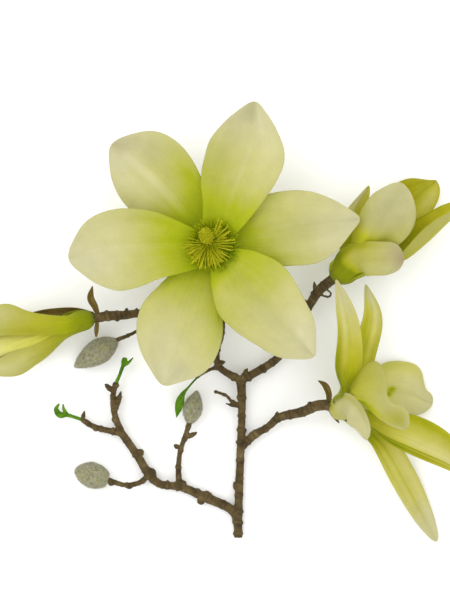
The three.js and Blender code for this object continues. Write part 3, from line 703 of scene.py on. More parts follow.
rightFlower = {
    "limbEnd": (54.2, -42.6, 20), "axis": (0.96, -0.13, 0.28), "height": 4, "wide": 5,
    "petals": {
        "tall_left_petal": {
            "turn": 300,
            "through": [(60.6, -34.6, 27.6), (64.2, -21, 31), (64.2, -3, 34), (61.5, 10, 35.5),
                        (57.6, 23, 35)],
            "face": (0.35, 0, 0.94), "left": [9.5, 10, 9, 7, 3.5], "right": [6.5, 7, 7, 6, 3.5],
            "cup": [46, 40, 30], "blunt": 4, "tone": (0, 0.95),
            "spots": [(0.35, -0.85, 0.4, 0.25, -0.4, -0.1), (0.3, 0.3, 0.2, 0.5, -0.12, 0.14),
                      (0.75, 0.4, 0.2, 0.4, 0.1, -0.06), (0.6, -0.3, 0.3, 0.2, 0.15, 0.1),
                      (0.08, 0, 0.1, 1.5, 0, 0.3)],
        },
        "tall_right_petal": {
            "turn": 243, "through": [(66.4, -31, 18), (72.4, -12, 20), (76, 5, 20), (73.4, 20.6, 18)],
            "face": (0.5, 0, 0.85), "left": [6, 8.5, 9, 7.5, 4], "right": [6, 8, 8, 7, 4],
            "cup": [50, 45, 30], "blunt": 4, "tone": (0, 1.3),
            "spots": [(0.6, -0.45, 0.4, 0.3, -0.3, 0.06), (0.75, 0.5, 0.3, 0.3, 0.25, 0.12),
                      (0.92, 0, 0.07, 0.6, 0.35, 0.06), (0.5, 0.1, 0.4, 0.6, 0, 0.08)],
        },
        "front_petal": {
            "turn": 345, "ring": 2.2,
            "through": [(65.8, -38.2, 37), (73.8, -38.4, 45.8), (83, -44.6, 48), (94, -54, 42)],
            "face": (0.4, 0, -0.9), "left": [1.8, 2, 3, 6, 7, 6],
            "right": [1.8, 2.2, 3.6, 9, 17, 21, 17, 8, 5.5, 8, 8, 6], "cup": [50, 45, 40, 40], "blunt": 12,
            "spots": [(0.55, 0.8, 0.12, 0.3, 0.05, -0.08), (0.5, -0.8, 0.3, 0.4, -0.5, 0.06),
                      (0.88, 0, 0.14, 0.8, -0.45, -0.14), (0.66, 0.45, 0.1, 0.3, 0.1, -0.12)],
        },
        "back_petal": {
            "turn": 190, "through": [(69, -41, 9), (81, -37.5, 2.2), (94, -36.5, 1), (108.5, -42, 4)],
            "face": (-0.2, 0, 1), "left": [5, 8, 11, 12.5, 14, 17, 17.5, 16, 7.5, 9],
            "right": [8, 13, 15, 15, 13, 10], "cup": [30, 25, 30], "blunt": 12, "warm": 0.3,
            # the first two spots paint a small dark green patch at the front petal's edge: a painted shadow
            # of the throat seen between the petals
            "spots": [(0.628, -0.13, 0.034, 0.07, -0.8, -0.26), (0.594, 0.02, 0.03, 0.08, -0.8, -0.26),
                      (0.75, 0, 0.4, 1.4, 0.05, 0.36), (0.68, -0.85, 0.2, 0.2, -0.25, 0)],
        },
        "low_right_petal": {
            "turn": 98, "ring": 2.2,
            "through": [(69, -49, 22.5), (83, -55.6, 20.5), (99, -61.5, 21), (117, -70, 24), (134, -83, 26)],
            "face": (-0.1, 0.2, 1), "left": [1.8, 9, 13.5, 13.5, 10, 5], "right": [1.8, 4, 7, 8, 7, 4],
            "cup": [50, 40, 30, 30], "blunt": 5, "tone": (0, 1),
            "spots": [(0.6, -0.85, 0.4, 0.2, -0.35, 0), (0.5, 0.8, 0.5, 0.16, -0.45, -0.2),
                      (0.6, 0.1, 0.35, 0.4, 0.2, 0.12), (0.5, 0.52, 0.5, 0.05, -0.6, -0.28),
                      (0.78, -0.5, 0.2, 0.35, -0.16, -0.12), (0.42, -0.3, 0.18, 0.8, 0.12, 0.1)],
        },
        "long_petal": {
            "turn": 132,
            "through": [(69, -52.6, 16), (81, -61, 12), (93, -80, 6.5), (104, -101, 3), (111, -114, 1.6)],
            "face": (0.2, 0.1, 1), "wide": [5, 7, 7.5, 6.5, 5], "cup": [30, 20, 20], "tone": (0, 0.95),
            "spots": [(0.6, 0.1, 0.4, 0.12, -0.12, -0.05), (0.6, -0.6, 0.4, 0.3, 0.1, 0.08),
                      (0.22, 0.5, 0.12, 0.5, -0.3, 0.14), (0.45, 0, 0.16, 1, 0.14, 0.08),
                      (0.85, 0, 0.2, 1.2, 0, -0.06)],
        },
        "short_petal": {
            "turn": 45,
            "through": [(61.4, -43.8, 33), (64.8, -46.8, 39.5), (69.4, -52.6, 38.6), (73.2, -60, 32)],
            "face": (0.5, 0.3, -0.8), "left": [8.4, 9, 8.4, 7, 4], "right": [7.4, 9, 8, 6, 4],
            "cup": [46, 42, 40], "tone": (-0.5, 0.8),
            "spots": [(0.4, -0.3, 0.6, 1, 0.25, -0.08), (0.5, 0.75, 0.4, 0.2, -0.2, -0.1)],
        },
    },
}
leftFlower = {
    "limbEnd": (-67.4, 3.2, 17.6), "axis": (-0.97, -0.2, 0.12), "height": 6.5, "wide": 4.7,
    "petals": {
        "upper_petal": {
            "turn": 30,
            "through": [(-80.6, 1.8, 26), (-93, 1.2, 30.5), (-104.5, 1.4, 33), (-117, 1, 33.5),
                        (-133.6, -7, 28)],
            "face": (0, -0.2, -1), "left": [5, 5, 6.5, 11, 10, 5], "right": [6, 7.4, 7.8, 8, 7, 4],
            "cup": [55, 45, 40], "tone": (0.05, 1.3),
            "spots": [(0.25, -0.3, 0.2, 0.6, -0.05, 0.08), (0.85, -0.4, 0.25, 0.5, 0.3, -0.04),
                      (0.15, 0, 0.12, 2, 0, 0.1), (0.65, 0.7, 0.4, 0.4, -0.05, -0.12)],
        },
        "lower_petal": {
            "turn": 292,
            "through": [(-80.6, -5, 20), (-91, -10.8, 22), (-100.4, -17, 23), (-111.8, -23, 23),
                        (-126.4, -26.4, 19)],
            "face": (0, 0.7, -0.7), "left": [6, 7, 8, 9, 8, 5], "right": [6.5, 8.5, 10.5, 11, 9, 5],
            "cup": [50, 45, 40], "tone": (0.05, 1.4),
            "spots": [(0.75, -0.1, 0.3, 0.6, 0.25, 0.06), (0.6, -0.85, 0.4, 0.25, 0.1, -0.1),
                      (0.3, 0, 0.25, 0.6, 0, -0.05)],
        },
        "inner_petal": {
            "turn": 340, "ring": 2.2,
            "through": [(-86, -2, 24), (-100, -6.8, 27), (-114, -11.2, 28), (-130, -15, 26)],
            "face": (0, 0.2, -1), "wide": [2, 5, 6, 6.5, 6, 4], "cup": [50, 45, 40, 40], "tone": (0, 1.2),
            "spots": [(0.6, 0, 0.6, 1.5, 0, 0.42)],
        },
        "back_petal": {
            "turn": 170, "through": [(-85, -2, 5.4), (-99, -6, 1.2), (-114, -9, 1), (-130, -12, 4.6)],
            "face": up, "left": [5, 8, 11, 11, 7], "right": [9, 12, 13, 12, 7], "cup": [45, 35, 35],
        },
    },
}
flowers = {"upper": upperFlower, "right": rightFlower, "left": leftFlower}
for title, flower in flowers.items():
    makeFlower(title, flower)


# The woody branch: overlapping tubes and knots that are melted into one skin, which then gets its
# scars and grain.

wood = {
    "voxel": 0.4,
    "sides": 14,
    "ringStep": 0.8,
    "budDetail": {"sides": 12, "rings": 8},
    "knotDetail": {"sides": 12, "rings": 8, "flat": 0, "fullest": 0.5},
    "walkStep": 0.5,
    "firstScar": (1.5, 5),
    "scarGap": (5.5, 10.5),  # from one ring scar to the next
    "scarLength": 1.1,
    "scarReach": 4,
    "swell": 0.3,
    "bump": 0.6,
    "bumpAhead": 0.4,
    "groove": 0.2,
    "grooveLength": 0.28,
    "groovePlaces": (-1.3, -0.6, 1.5),
    "grain": 0.2,
    "seed": 11,
}
limbs = {  # each point: x, y, z, radius
    "mainStem": [(7, -112, 2.3, 2.3), (7, -101, 2.6, 2.2), (7.8, -76, 3.6, 2.15), (8.8, -49.5, 5, 2.1),
                 (8.8, -37, 5.8, 2), (8.3, -29.6, 6.4, 2.5)],
    "lowerLimb": [(6.6, -107, 2.7, 1.9), (4.2, -98.3, 3, 2.4), (-9.9, -91, 3.4, 2.5),
                  (-23.9, -85.3, 3.6, 2.2), (-34.2, -83.8, 3.8, 2.1), (-39.8, -78.8, 4, 2.3),
                  (-45.6, -69.4, 4.2, 2.1), (-54, -57.4, 4.4, 2.1)],
    "lowerLeftArm": [(-54, -57.4, 4.4, 1.7), (-60.5, -56, 4.2, 1.6), (-68.1, -54.1, 4, 1.5),
                     (-75, -50.2, 4, 1.3)],
    "lowerUpArm": [(-54, -57.4, 4.4, 1.9), (-56.8, -50.5, 5, 1.7), (-58.8, -40, 6, 1.35),
                   (-57, -30.6, 6.8, 1.5)],
    "feltTwigLeft": [(-39.8, -78.8, 4, 1.5), (-44, -82.8, 4.4, 1.4), (-52, -84.4, 5.2, 1.3),
                     (-61, -81.8, 6.3, 1.5)],
    "feltTwigUp": [(-23.9, -85.3, 3.6, 1.7), (-24.4, -76, 4.4, 1.5), (-23.4, -66.6, 5.2, 1.3),
                   (-20.8, -58.8, 5.8, 1.3), (-18.7, -52.3, 6.2, 1.4)],
    "rightLimb": [(9.2, -64.5, 4.4, 1.9), (14.5, -58.8, 4.8, 2.2), (22.9, -53.6, 5.6, 1.9),
                  (28, -49.2, 7, 2.2), (40.6, -45.8, 13.4, 2.4), (47.4, -42.8, 17.6, 2.6),
                  (51.3, -42.2, 19.1, 2.8), (54.2, -42.6, 20, 2.8)],
    "rightForkLimb": [(8.3, -29.6, 6.4, 2.3), (19.2, -23.6, 6, 2.1), (27.6, -17.7, 6, 2.1), (37, -3, 8, 1.9),
                      (44.2, 9.9, 11.5, 2.1), (49, 17.4, 15.6, 2.5), (55.8, 23.2, 18.6, 2.7)],
    "leftForkLimb": [(8.3, -29.6, 6.4, 2.2), (-3.1, -22.4, 6, 1.8), (-4.6, -15, 6.2, 1.8),
                     (-2, -5.7, 7.5, 1.7), (-1.6, 7.3, 9, 1.7), (-3.5, 22, 10.4, 1.8), (-5.6, 34, 12.6, 1.9),
                     (-6.2, 40, 17.6, 2), (-6.2, 41, 25.5, 2.2)],
    "leftFlowerLimb": [(-1.9, 0.6, 8.3, 1.6), (-13, 3.6, 7.4, 1.5), (-28.6, 6.2, 7.6, 1.5),
                       (-45.8, 5.4, 9.6, 1.4), (-53, 4.6, 12.4, 2.1), (-60, 4.2, 16.4, 2.5),
                       (-67.4, 3.2, 17.6, 2.6)],
    "feltStalkBack": [(-33.8, 6.2, 8, 1.2), (-39, 1, 7.6, 1), (-46.8, -4.2, 7.4, 0.9),
                      (-56.4, -8.4, 7.4, 1.2)],
    "sideTwig": [(8, -42.6, 5.6, 1.1), (3.6, -40.6, 7, 0.9), (0.5, -37.4, 8, 0.8), (-4.7, -35.6, 9, 0.8)],
    "leafTwig": [(-3.6, -22.6, 6, 1.1), (-8.6, -24.2, 7.2, 0.9), (-13.6, -27, 8, 0.9)],
    "loopTwig": [(48.6, 16.4, 14.8, 0.6), (51.6, 14.6, 15.4, 0.6), (54.4, 14.2, 16, 0.6),
                 (55.2, 16, 16.4, 0.55), (53.4, 17.6, 16.6, 0.5)],
}
sideBuds = [  # base, tip, greatest radius
    ((6.6, -88.5, 3.2), (4.4, -82.6, 3.4), 1.3), ((27.6, -50.5, 7.4), (27.3, -45.4, 8.6), 1.2),
    ((40, -44.8, 12.4), (40.4, -48.6, 13.6), 1.7), ((8.4, -30, 6.4), (12, -22.8, 7.8), 1.5),
    ((-3.6, -21, 6), (-0.2, -19.6, 7), 1.4), ((-20, -59.6, 5.8), (-14.2, -56.6, 6.8), 1.35),
    ((-24, -64.8, 5.2), (-27, -63.2, 5.6), 1.3), ((-75, -51.6, 4), (-73.4, -45.2, 5.2), 1.2),
    ((-58.2, -35.6, 6.2), (-63.2, -31.4, 6.8), 1.5), ((-57.6, -46, 5.6), (-54.2, -34.8, 6.4), 1.55),
    ((44, 9.4, 11.5), (39.6, 13.8, 12.5), 1), ((47.6, 14.4, 13.4), (46.4, 22.6, 15), 1.2),
    ((8, -43.8, 5.6), (-0.6, -41.4, 6.8), 0.8), ((-51.6, 5.2, 11.6), (-51.3, 8.4, 12.6), 1),
    ((-45.6, 5.2, 9.6), (-46.4, 8.6, 10), 1.1),
]
knots = [  # x, y, z, radius
    (-44.6, -67.6, 4.6, 2.3), (-38.6, -78, 4.2, 2.7), (-9.8, -90, 3.8, 2.7), (-12.6, -92.8, 3.6, 2.1),
    (-50, -84.9, 5, 1.7), (-59.6, -83.2, 6, 1.8), (-67.6, -54.6, 4, 1.9), (-22.4, -84, 4, 2.4),
    (-24.4, -74.6, 4.5, 1.7), (-72.6, -51.6, 4, 1.7), (-4.8, -35.6, 9, 1.1), (8.8, -56, 4.8, 2.5),
    (8.4, -38.4, 5.8, 2.4), (14.6, -58.6, 5, 2.5), (34, -47.4, 10, 2.5), (20, -23.4, 6.2, 2.4),
    (-3.6, -22.4, 6, 2.1), (-57.6, -50, 5, 1.9), (-30, 6.2, 7.8, 1.8), (-56.4, 4.4, 14.6, 2.6),
    (56.3, 23.6, 18.8, 2.9), (54.8, -42.7, 20.2, 2.9), (-67.9, 3.1, 17.7, 2.8), (-6.2, 41, 25.4, 2.3),
    (-61.5, -81.6, 6.4, 1.7), (-18.6, -51.8, 6.3, 1.6), (-56.9, -8.8, 7.4, 1.4), (-14.2, -27.6, 8.3, 1),
]


def capsule(path, radii, sides, step):
    # a closed tube along the path, with its ends rounded in a little
    length = path[2]
    u = np.linspace(0, 1, max(int(length / step), 3) + 1)
    u = np.concatenate([[0, 0.25 * step / length], u[1:-1], [1 - 0.25 * step / length, 1]])
    centre, radius = readPath(path, u), along(radii, u)
    radius[[0, -1]] *= 0.86
    tangent = unit(np.gradient(centre, axis=0))
    normal = unit(np.cross(tangent[0], (0.3, 0.2, 1)))
    rows = []
    for here, direction, size in zip(centre, tangent, radius):
        normal = unit(normal - direction * np.dot(normal, direction))
        rows.append(here + size * circle(normal, np.cross(direction, normal), sides))
    return closeRings(rows, sides, centre[[0, -1]])


def turnedShape(profile, base, axis, sides):
    # a closed solid of revolution from (radius, height) pairs, with single points at its poles
    axis, first, second = squareTo(axis)
    rows = [base + axis * height + radius * circle(first, second, sides)
            for radius, height in profile if radius > 1e-6]
    return closeRings(rows, sides, [base + axis * profile[end][1] for end in (0, -1)])


def eggShape(base, tip, radius, sides=16, rings=10, flat=0.4, fullest=0.45, square=0.8):
    # an egg that stands on a small flat base
    axis = np.subtract(tip, base)
    length = np.linalg.norm(axis)
    profile = []
    for t in (1 - np.cos(np.linspace(0, math.pi, rings + 1))) / 2:
        wide = t / fullest if t < fullest else (1 - t) / (1 - fullest)
        swell = math.sin(wide * math.pi / 2) ** square if wide > 0 else 0
        least = flat if t < fullest else 0
        profile.append((least + (radius - least) * swell, t * length))
    return turnedShape(profile, base, axis, sides)


def joinShapes(shapes):
    points, faces, start = [], [], 0
    for shapePoints, shapeFaces in shapes:
        points.append(shapePoints)
        faces += [[corner + start for corner in face] for face in shapeFaces]
        start += len(shapePoints)
    return np.vstack(points), faces


def walkLimb(name, path, draws):
    # close places along a limb, each with (how far along it lies, direction, the limb's ring scars)
    length = path[2]
    u = np.linspace(0, 1, max(int(length / wood["walkStep"]), 4))
    centre = readPath(path, u)
    scars, place = [], draws.uniform(*wood["firstScar"])
    while place < length - 1 and name != "loopTwig":
        scars.append((place, draws.uniform(0, 2 * math.pi), draws.uniform(0.5, 1)))
        place += draws.uniform(*wood["scarGap"])
    tangents = unit(np.gradient(centre, axis=0))
    return list(centre), [(share * length, tangent, scars) for share, tangent in zip(u, tangents)]


def scarsAt(out, walked, tangent, scars):
    # how far the ring scars push a place out, and how dark they make it
    push, mask = 0.0, 0.0
    walked += float(np.dot(out, tangent))
    angle = math.atan2(out[2], out[0] * tangent[1] - out[1] * tangent[0])
    for middle, turn, size in scars:
        away = walked - middle
        if abs(away) > wood["scarReach"]:
            continue
        side = max(math.cos(angle - turn), 0) ** 3
        push += size * (wood["swell"] * math.exp(-(away / wood["scarLength"]) ** 2) + wood["bump"] * side
                        * math.exp(-((away - wood["bumpAhead"]) / wood["scarLength"]) ** 2))
        for line in wood["groovePlaces"]:
            mark = math.exp(-((away - line) / wood["grooveLength"]) ** 2)
            push -= size * wood["groove"] * mark
            mask = max(mask, mark * size)
    return push, mask


def makeBranch():
    draws = np.random.default_rng(wood["seed"])
    shapes, centres, details = [], [], []
    for name, points in limbs.items():
        path, radii = splitPoints(points)
        shapes.append(capsule(path, radii, wood["sides"], wood["ringStep"]))
        limbCentres, limbDetails = walkLimb(name, path, draws)
        centres += limbCentres
        details += limbDetails
    for base, tip, radius in sideBuds:
        shapes.append(eggShape(base, tip, radius, **wood["budDetail"]))
    for x, y, z, radius in knots:
        shapes.append(eggShape((x, y, z - radius), (x, y, z + radius), radius, **wood["knotDetail"]))
    piece = newPiece("branch_wood", *joinShapes(shapes))
    melt(piece, wood["voxel"])
    places, normals = readPoints(piece)
    tree = kdtree.KDTree(len(centres))
    for k, centre in enumerate(centres):
        tree.insert(Vector(centre), k)
    tree.balance()
    scarred = []
    for place in places:
        _, nearest, _ = tree.find(Vector(place))
        scarred.append(scarsAt(place - centres[nearest], *details[nearest]))
    push, mask = np.array(scarred).T
    push = push + (wood["grain"] * cloudAt(places, 0.9) + 0.5 * wood["grain"] * cloudAt(places, 2.6, 5.0))
    writePoints(piece, places + normals * push[:, None])
    addNumbers(piece, "scar", mask)
    finishPiece(piece, makeBark(), "wood", "woody_branch")


barkColours = {
    "stops": [(0.0, (52, 40, 16)), (0.35, (86, 70, 34)), (0.6, (102, 84, 46)), (0.85, (122, 104, 62)),
              (1.0, (140, 124, 84))],
    "scar": (46, 35, 15),
    "light": 0.82,
}


def makeBark():
    material, tree, shader, place = makeMaterial("knobblyBark", {
        "Roughness": 0.78, "Specular IOR Level": 0.3})
    patches = noiseAt(tree, place, 200.0, 5.0, 0.6)
    cracks = addNode(tree, "ShaderNodeTexVoronoi", {"Vector": place, "Scale": 900.0}, "Distance",
                     feature="DISTANCE_TO_EDGE")
    crack = mapRange(tree, cracks, 0.0, 0.12)
    colour = addRamp(tree, spread(tree, patches, 0.28, 2.1), barkColours["stops"], barkColours["light"])
    for share in (doMaths(tree, "MULTIPLY", doMaths(tree, "SUBTRACT", 1.0, crack), 0.35),
                  doMaths(tree, "MULTIPLY", pieceNumber(tree, "scar"), 0.7)):
        colour = mixColour(tree, share, colour, paint(barkColours["scar"]))
    mottle(tree, shader, colour, place, clouds=(90.0, 0.1), specks=(2600.0, 0.12))
    addBump(tree, shader, doMaths(tree, "ADD", doMaths(tree, "MULTIPLY", crack, 0.4), patches), 0.8, 0.4)
    return material


makeBranch()
print("branch made")


# Geometry trees: what they grow is made a plain mesh at once.

def growTree(name, inputs):
    return newTree("GeometryNodeTree", name, {"Geometry": "Geometry", **inputs}, {"Geometry": "Geometry"})


def grow(piece, tree, values):
    modifier = piece.modifiers.new("grow", "NODES")
    modifier.node_group = tree
    for item in tree.interface.items_tree:
        if item.item_type == "SOCKET" and item.in_out == "INPUT" and item.name in values:
            modifier[item.identifier] = values[item.name]
    bakeModifiers(piece)


def scatter(tree, given, spacing, method="RANDOM"):
    return addNode(tree, "GeometryNodeDistributePointsOnFaces",
                   {"Mesh": given["Geometry"], "Seed": given["Seed"], **spacing}, None,
                   distribute_method=method)


def randomNumber(tree, low, high, seed):
    # the node's sockets for plain numbers are inputs 2 and 3 and output 1
    return addNode(tree, "FunctionNodeRandomValue", {2: low, 3: high, "Seed": seed}, 1, data_type="FLOAT")


def turnBy(tree, rotation, angles):
    # turns a rotation by angles about its own axes
    turn = addNode(tree, "FunctionNodeEulerToRotation", {0: addNode(tree, "ShaderNodeCombineXYZ", angles)})
    return addNode(tree, "FunctionNodeRotateRotation", {"Rotation": rotation, "Rotate By": turn},
                   rotation_space="LOCAL")


def plant(tree, spots, thing, rotation, sizes):
    # sizes are the least, the greatest and a seed
    return addNode(tree, "GeometryNodeInstanceOnPoints", {
        "Points": spots["Points"], "Instance": thing, "Rotation": rotation,
        "Scale": randomNumber(tree, *sizes)})


def finishTree(tree, result, geometry, material):
    # every tree ends with real faces that have their material
    real = addNode(tree, "GeometryNodeRealizeInstances", {"Geometry": geometry})
    give(tree, result[0], addNode(tree, "GeometryNodeSetMaterial", {"Geometry": real, "Material": material}))


def makeFuzzTree():
    # short hairs that stand on a surface, each leaning its own way
    tree, given, result = growTree("fuzz", {
        "Density": 4e6, "Hair Length": 0.001, "Hair Radius": 0.00008, "Lean": 0.6, "Seed": 1,
        "Hair Material": "Material"})
    spots = scatter(tree, given, {"Density": given["Density"]})
    hair = addNode(tree, "GeometryNodeMeshCone", {
        "Vertices": 3, "Radius Top": 0.0, "Radius Bottom": given["Hair Radius"],
        "Depth": given["Hair Length"]})
    leans = {axis: doMaths(tree, "MULTIPLY", randomNumber(tree, -1.0, 1.0, seed), given["Lean"])
             for axis, seed in (("X", 20), ("Y", 21))}
    hairs = plant(tree, spots, hair, turnBy(tree, spots["Rotation"], leans), (0.6, 1.25, 31))
    finishTree(tree, result, hairs, given["Hair Material"])
    return tree


def makeThreadTree():
    # thin curved threads that start on a surface and arch outwards from a middle line
    tree, given, result = growTree("threads", {
        "Density": 1e6, "Length": 0.008, "Thread Radius": 0.0002, "Rise": 0.3, "Droop": 0.3,
        "Middle": "Vector", "Seed": 1, "Thread Material": "Material"})
    spots = scatter(tree, given, {"Density": given["Density"]})
    fall = doMaths(tree, "MULTIPLY", given["Droop"], -1.0)
    bend, end = (scaleBy(tree, addNode(tree, "ShaderNodeCombineXYZ", way), given["Length"])
                 for way in ({"X": 0.45, "Z": given["Rise"]}, {"X": 1.0, "Y": 0.08, "Z": fall}))
    arc = addNode(tree, "GeometryNodeCurveQuadraticBezier",
                  {"Resolution": 7, "Start": (0, 0, 0), "Middle": bend, "End": end})
    place = addNode(tree, "GeometryNodeSplineParameter", output="Factor")
    marked = addNode(tree, "GeometryNodeStoreNamedAttribute",
                     {"Geometry": arc, "Name": "reachAndPaintedShade", "Value": place}, data_type="FLOAT", domain="POINT")
    taper = doMaths(tree, "SUBTRACT", 1.0, doMaths(tree, "MULTIPLY", place, 0.55))
    thin = addNode(tree, "GeometryNodeSetCurveRadius", {"Curve": marked, "Radius": taper})
    ring = addNode(tree, "GeometryNodeCurvePrimitiveCircle",
                   {"Resolution": 5, "Radius": given["Thread Radius"]})
    thread = addNode(tree, "GeometryNodeCurveToMesh",
                     {"Curve": thin, "Profile Curve": ring, "Fill Caps": True})
    away = addNode(tree, "ShaderNodeVectorMath",
                   {0: addNode(tree, "GeometryNodeInputPosition"), 1: given["Middle"]}, operation="SUBTRACT")
    level = addNode(tree, "ShaderNodeVectorMath", {0: away, 1: (1, 1, 0)}, operation="MULTIPLY")
    facing = addNode(tree, "FunctionNodeAlignRotationToVector", {"Vector": level}, axis="X")
    sway = {"Y": randomNumber(tree, -0.5, 0.5, 42), "Z": randomNumber(tree, -0.35, 0.35, 41)}
    threads = plant(tree, spots, thread, turnBy(tree, facing, sway), (0.65, 1.15, 43))
    finishTree(tree, result, threads, given["Thread Material"])
    return tree


def makeNubTree():
    # small round nubs set into a surface
    tree, given, result = growTree("nubs", {
        "Spacing": 0.0008, "Nub Radius": 0.0005, "Seed": 1, "Nub Material": "Material"})
    spots = scatter(tree, given, {"Distance Min": given["Spacing"], "Density Max": 9e6}, "POISSON")
    nub = addNode(tree, "GeometryNodeMeshIcoSphere", {"Radius": given["Nub Radius"], "Subdivisions": 2})
    longer = addNode(tree, "GeometryNodeTransform", {"Geometry": nub, "Scale": (0.8, 0.8, 1.5)})
    smooth = addNode(tree, "GeometryNodeSetShadeSmooth", {"Geometry": longer})
    nubs = plant(tree, spots, smooth, spots["Rotation"], (0.7, 1.15, 51))
    both = addNode(tree, "GeometryNodeJoinGeometry", {"Geometry": nubs})
    give(tree, both.node.inputs[0], given["Geometry"])
    finishTree(tree, result, both, given["Nub Material"])
    return tree


fuzzTree = makeFuzzTree()
threadTree = makeThreadTree()
nubTree = makeNubTree()


# Felt flower buds: a lumpy egg under short grey-green hairs.

feltBuds = {
    "shapes": {
        "felt_bud_left": {"end": (-61, -81.8, 6.3), "tip": (-78.6, -76.4, 6.8), "radius": 6.5,
                          "fullest": 0.46, "flat": 3, "square": 0.62},
        "felt_bud_up": {"end": (-18.7, -52.3, 6.2), "tip": (-14.6, -34.8, 7), "radius": 4.8},
        "felt_bud_back": {"end": (-56.4, -8.4, 7.4), "tip": (-79, -22.6, 7), "radius": 6.3},
    },
    "plain": {"sides": 40, "rings": 34, "flat": 1.4, "fullest": 0.4},
    "stops": [(0.0, (96, 92, 62)), (0.35, (140, 137, 100)), (0.55, (158, 156, 126)), (0.75, (170, 167, 138)),
              (1.0, (186, 184, 162))],
    "olive": (160, 156, 70),
    "lumps": 0.22,
    "hairs": {"Density": 9e6, "Hair Length": 0.75 * mm, "Hair Radius": 0.055 * mm, "Lean": 0.9, "Seed": 5},
}


def makeFelt(name, light):
    material, tree, shader, place = makeMaterial(name, {
        "Roughness": 0.95, "Specular IOR Level": 0.1, "Sheen Weight": 0.35, "Sheen Roughness": 0.6})
    clumps = noiseAt(tree, place, 650.0, 4.0, 0.7)
    colour = addRamp(tree, spread(tree, clumps, 0.27, 2.2), feltBuds["stops"], light)
    olive = mapRange(tree, noiseAt(tree, place, 420.0, 2.0), 0.55, 0.7, 0.0, 0.4)
    colour = mixColour(tree, olive, colour, paint(feltBuds["olive"]))
    mottle(tree, shader, colour, place, clouds=(120.0, 0.05), specks=(2400.0, 0.15))
    addBump(tree, shader, clumps, 0.7, 0.5)
    return material


def makeFeltBuds():
    felt, hair = makeFelt("budFelt", 0.78), makeFelt("budHair", 0.86)
    for name, shape in feltBuds["shapes"].items():
        egg = {**feltBuds["plain"], **shape}
        end = egg.pop("end")
        base = end + unit(np.subtract(egg["tip"], end)) * joint["gap"]
        bud = newPiece(f"{name}_body", *eggShape(base, **egg))
        pushOut(bud, lambda places: feltBuds["lumps"] * (
            cloudAt(places, 0.28, 3.0) + 0.5 * cloudAt(places, 0.9, 8.0)))
        fuzz = placeObject(f"{name}_fuzz", bud.data.copy())
        grow(fuzz, fuzzTree, {**feltBuds["hairs"], "Hair Material": hair})
        writePoints(fuzz, readPoints(fuzz)[0])
        finishPiece(bud, felt, "felt", name)
        finishPiece(fuzz, hair, "felt")


makeFeltBuds()
print("felt buds made")


# The middle of the main bloom and the cups that the flowers stand on.

cups = {
    "ribs": 12,
    "ribDepth": 0.22,
    "sides": 96,
    "steps": 40,
    "main": [(0, 0), (2.4, 0), (4.9, 4), (4.9, 11), (3.4, 12), (0, 12)],  # distances out and up
    "side": [(0, 0), (0.42, 0), (0.8, 0.4), (1, 0.8), (1, 1), (0, 1)],  # shares of the flower's size
}
knobs = {
    "slim": {"radius": 1.7, "flat": 1.2, "sides": 24, "rings": 18, "fullest": 0.6},
    "nubs": {"Spacing": 1.05 * mm, "Nub Radius": 0.7 * mm, "Seed": 3},
    "main": {"base": (-8.2, 42.4, 38.6), "tip": (-11, 48.2, 51), "radius": 3, "flat": 1.6},
    "upper": {"base": (61.1, 27.7, 20), "tip": (69.5, 34.6, 22.2)},
    "right": {"base": (58.95, -43.25, 21.4), "tip": (70, -44.7, 24.6)},
}
stamens = {
    "dish": {"inner": 2.2, "outer": 8.4, "height": 11.4, "rise": 1.6, "thickness": 0.5},
    # the painted shade on the stamens is darkest this many degrees round from the right
    "paintedShadeSide": -22,  # degrees round from the right
    "filament": {"inner": 1.2, "outer": 4.2, "height": 15.6, "rise": 0.6, "arc": (-190, 62),
                 "middle": (-8.6, 42), "count": 170, "length": 9.4, "radius": 0.19,
                 "curve": {"Rise": 0.36, "Droop": 0.14}},
    "bristle": {"inner": 5, "outer": 10.6, "height": 11.4, "rise": 0.6, "arc": (0, 360),
                "middle": bloom["foot"][:2], "count": 480, "length": 4.2, "radius": 0.15,
                "curve": {"Rise": 0.4, "Droop": -0.35}},
}
greens = {
    "cup": [(0.0, (96, 112, 2)), (0.5, (134, 146, 2)), (1.0, (158, 166, 6))],
    "knob": [(0.0, (140, 146, 2)), (0.5, (176, 174, 8)), (1.0, (204, 194, 30))],
    "filament": [(0.0, (150, 160, 2)), (0.5, (182, 184, 8)), (1.0, (210, 204, 34))],
    # the darkest greens of the bristles and the dish show mostly where painted shade darkens them
    "bristle": [(0.0, (58, 106, 0)), (0.3, (150, 172, 0)), (1.0, (196, 204, 6))],
    "dish": [(0.0, (50, 100, 0)), (0.4, (130, 158, 0)), (1.0, (182, 194, 2))],
    "shoot": [(0.0, (48, 88, 2)), (0.5, (84, 134, 4)), (1.0, (124, 172, 16))],
}


def makeGreen(kind, scale=500.0, roughness=0.6, reachAndPaintedShade=False):
    # one of the greens: cloudy from dark to light, and lighter along each thread towards its tip where the
    # piece has that number; on the dish and the bristles the number also holds painted shade, darker on one
    # side of the bloom's middle
    material, tree, shader, place = makeMaterial(f"{kind}Green", {
        "Roughness": roughness, "Specular IOR Level": 0.12})
    cloud = noiseAt(tree, place, scale, 4.0, 0.6)
    tone = spread(tree, cloud, 0.25, 2.0)
    if reachAndPaintedShade:
        tone = doMaths(tree, "ADD", doMaths(tree, "MULTIPLY", tone, 0.45),
                       doMaths(tree, "MULTIPLY", pieceNumber(tree, "reachAndPaintedShade"), 0.6), True)
    colour = addRamp(tree, tone, greens[kind], petalColours["light"])
    mottle(tree, shader, colour, place, clouds=(180.0, 0.06), specks=(2200.0, 0.06))
    addBump(tree, shader, cloud, 0.3, 0.3)
    return material


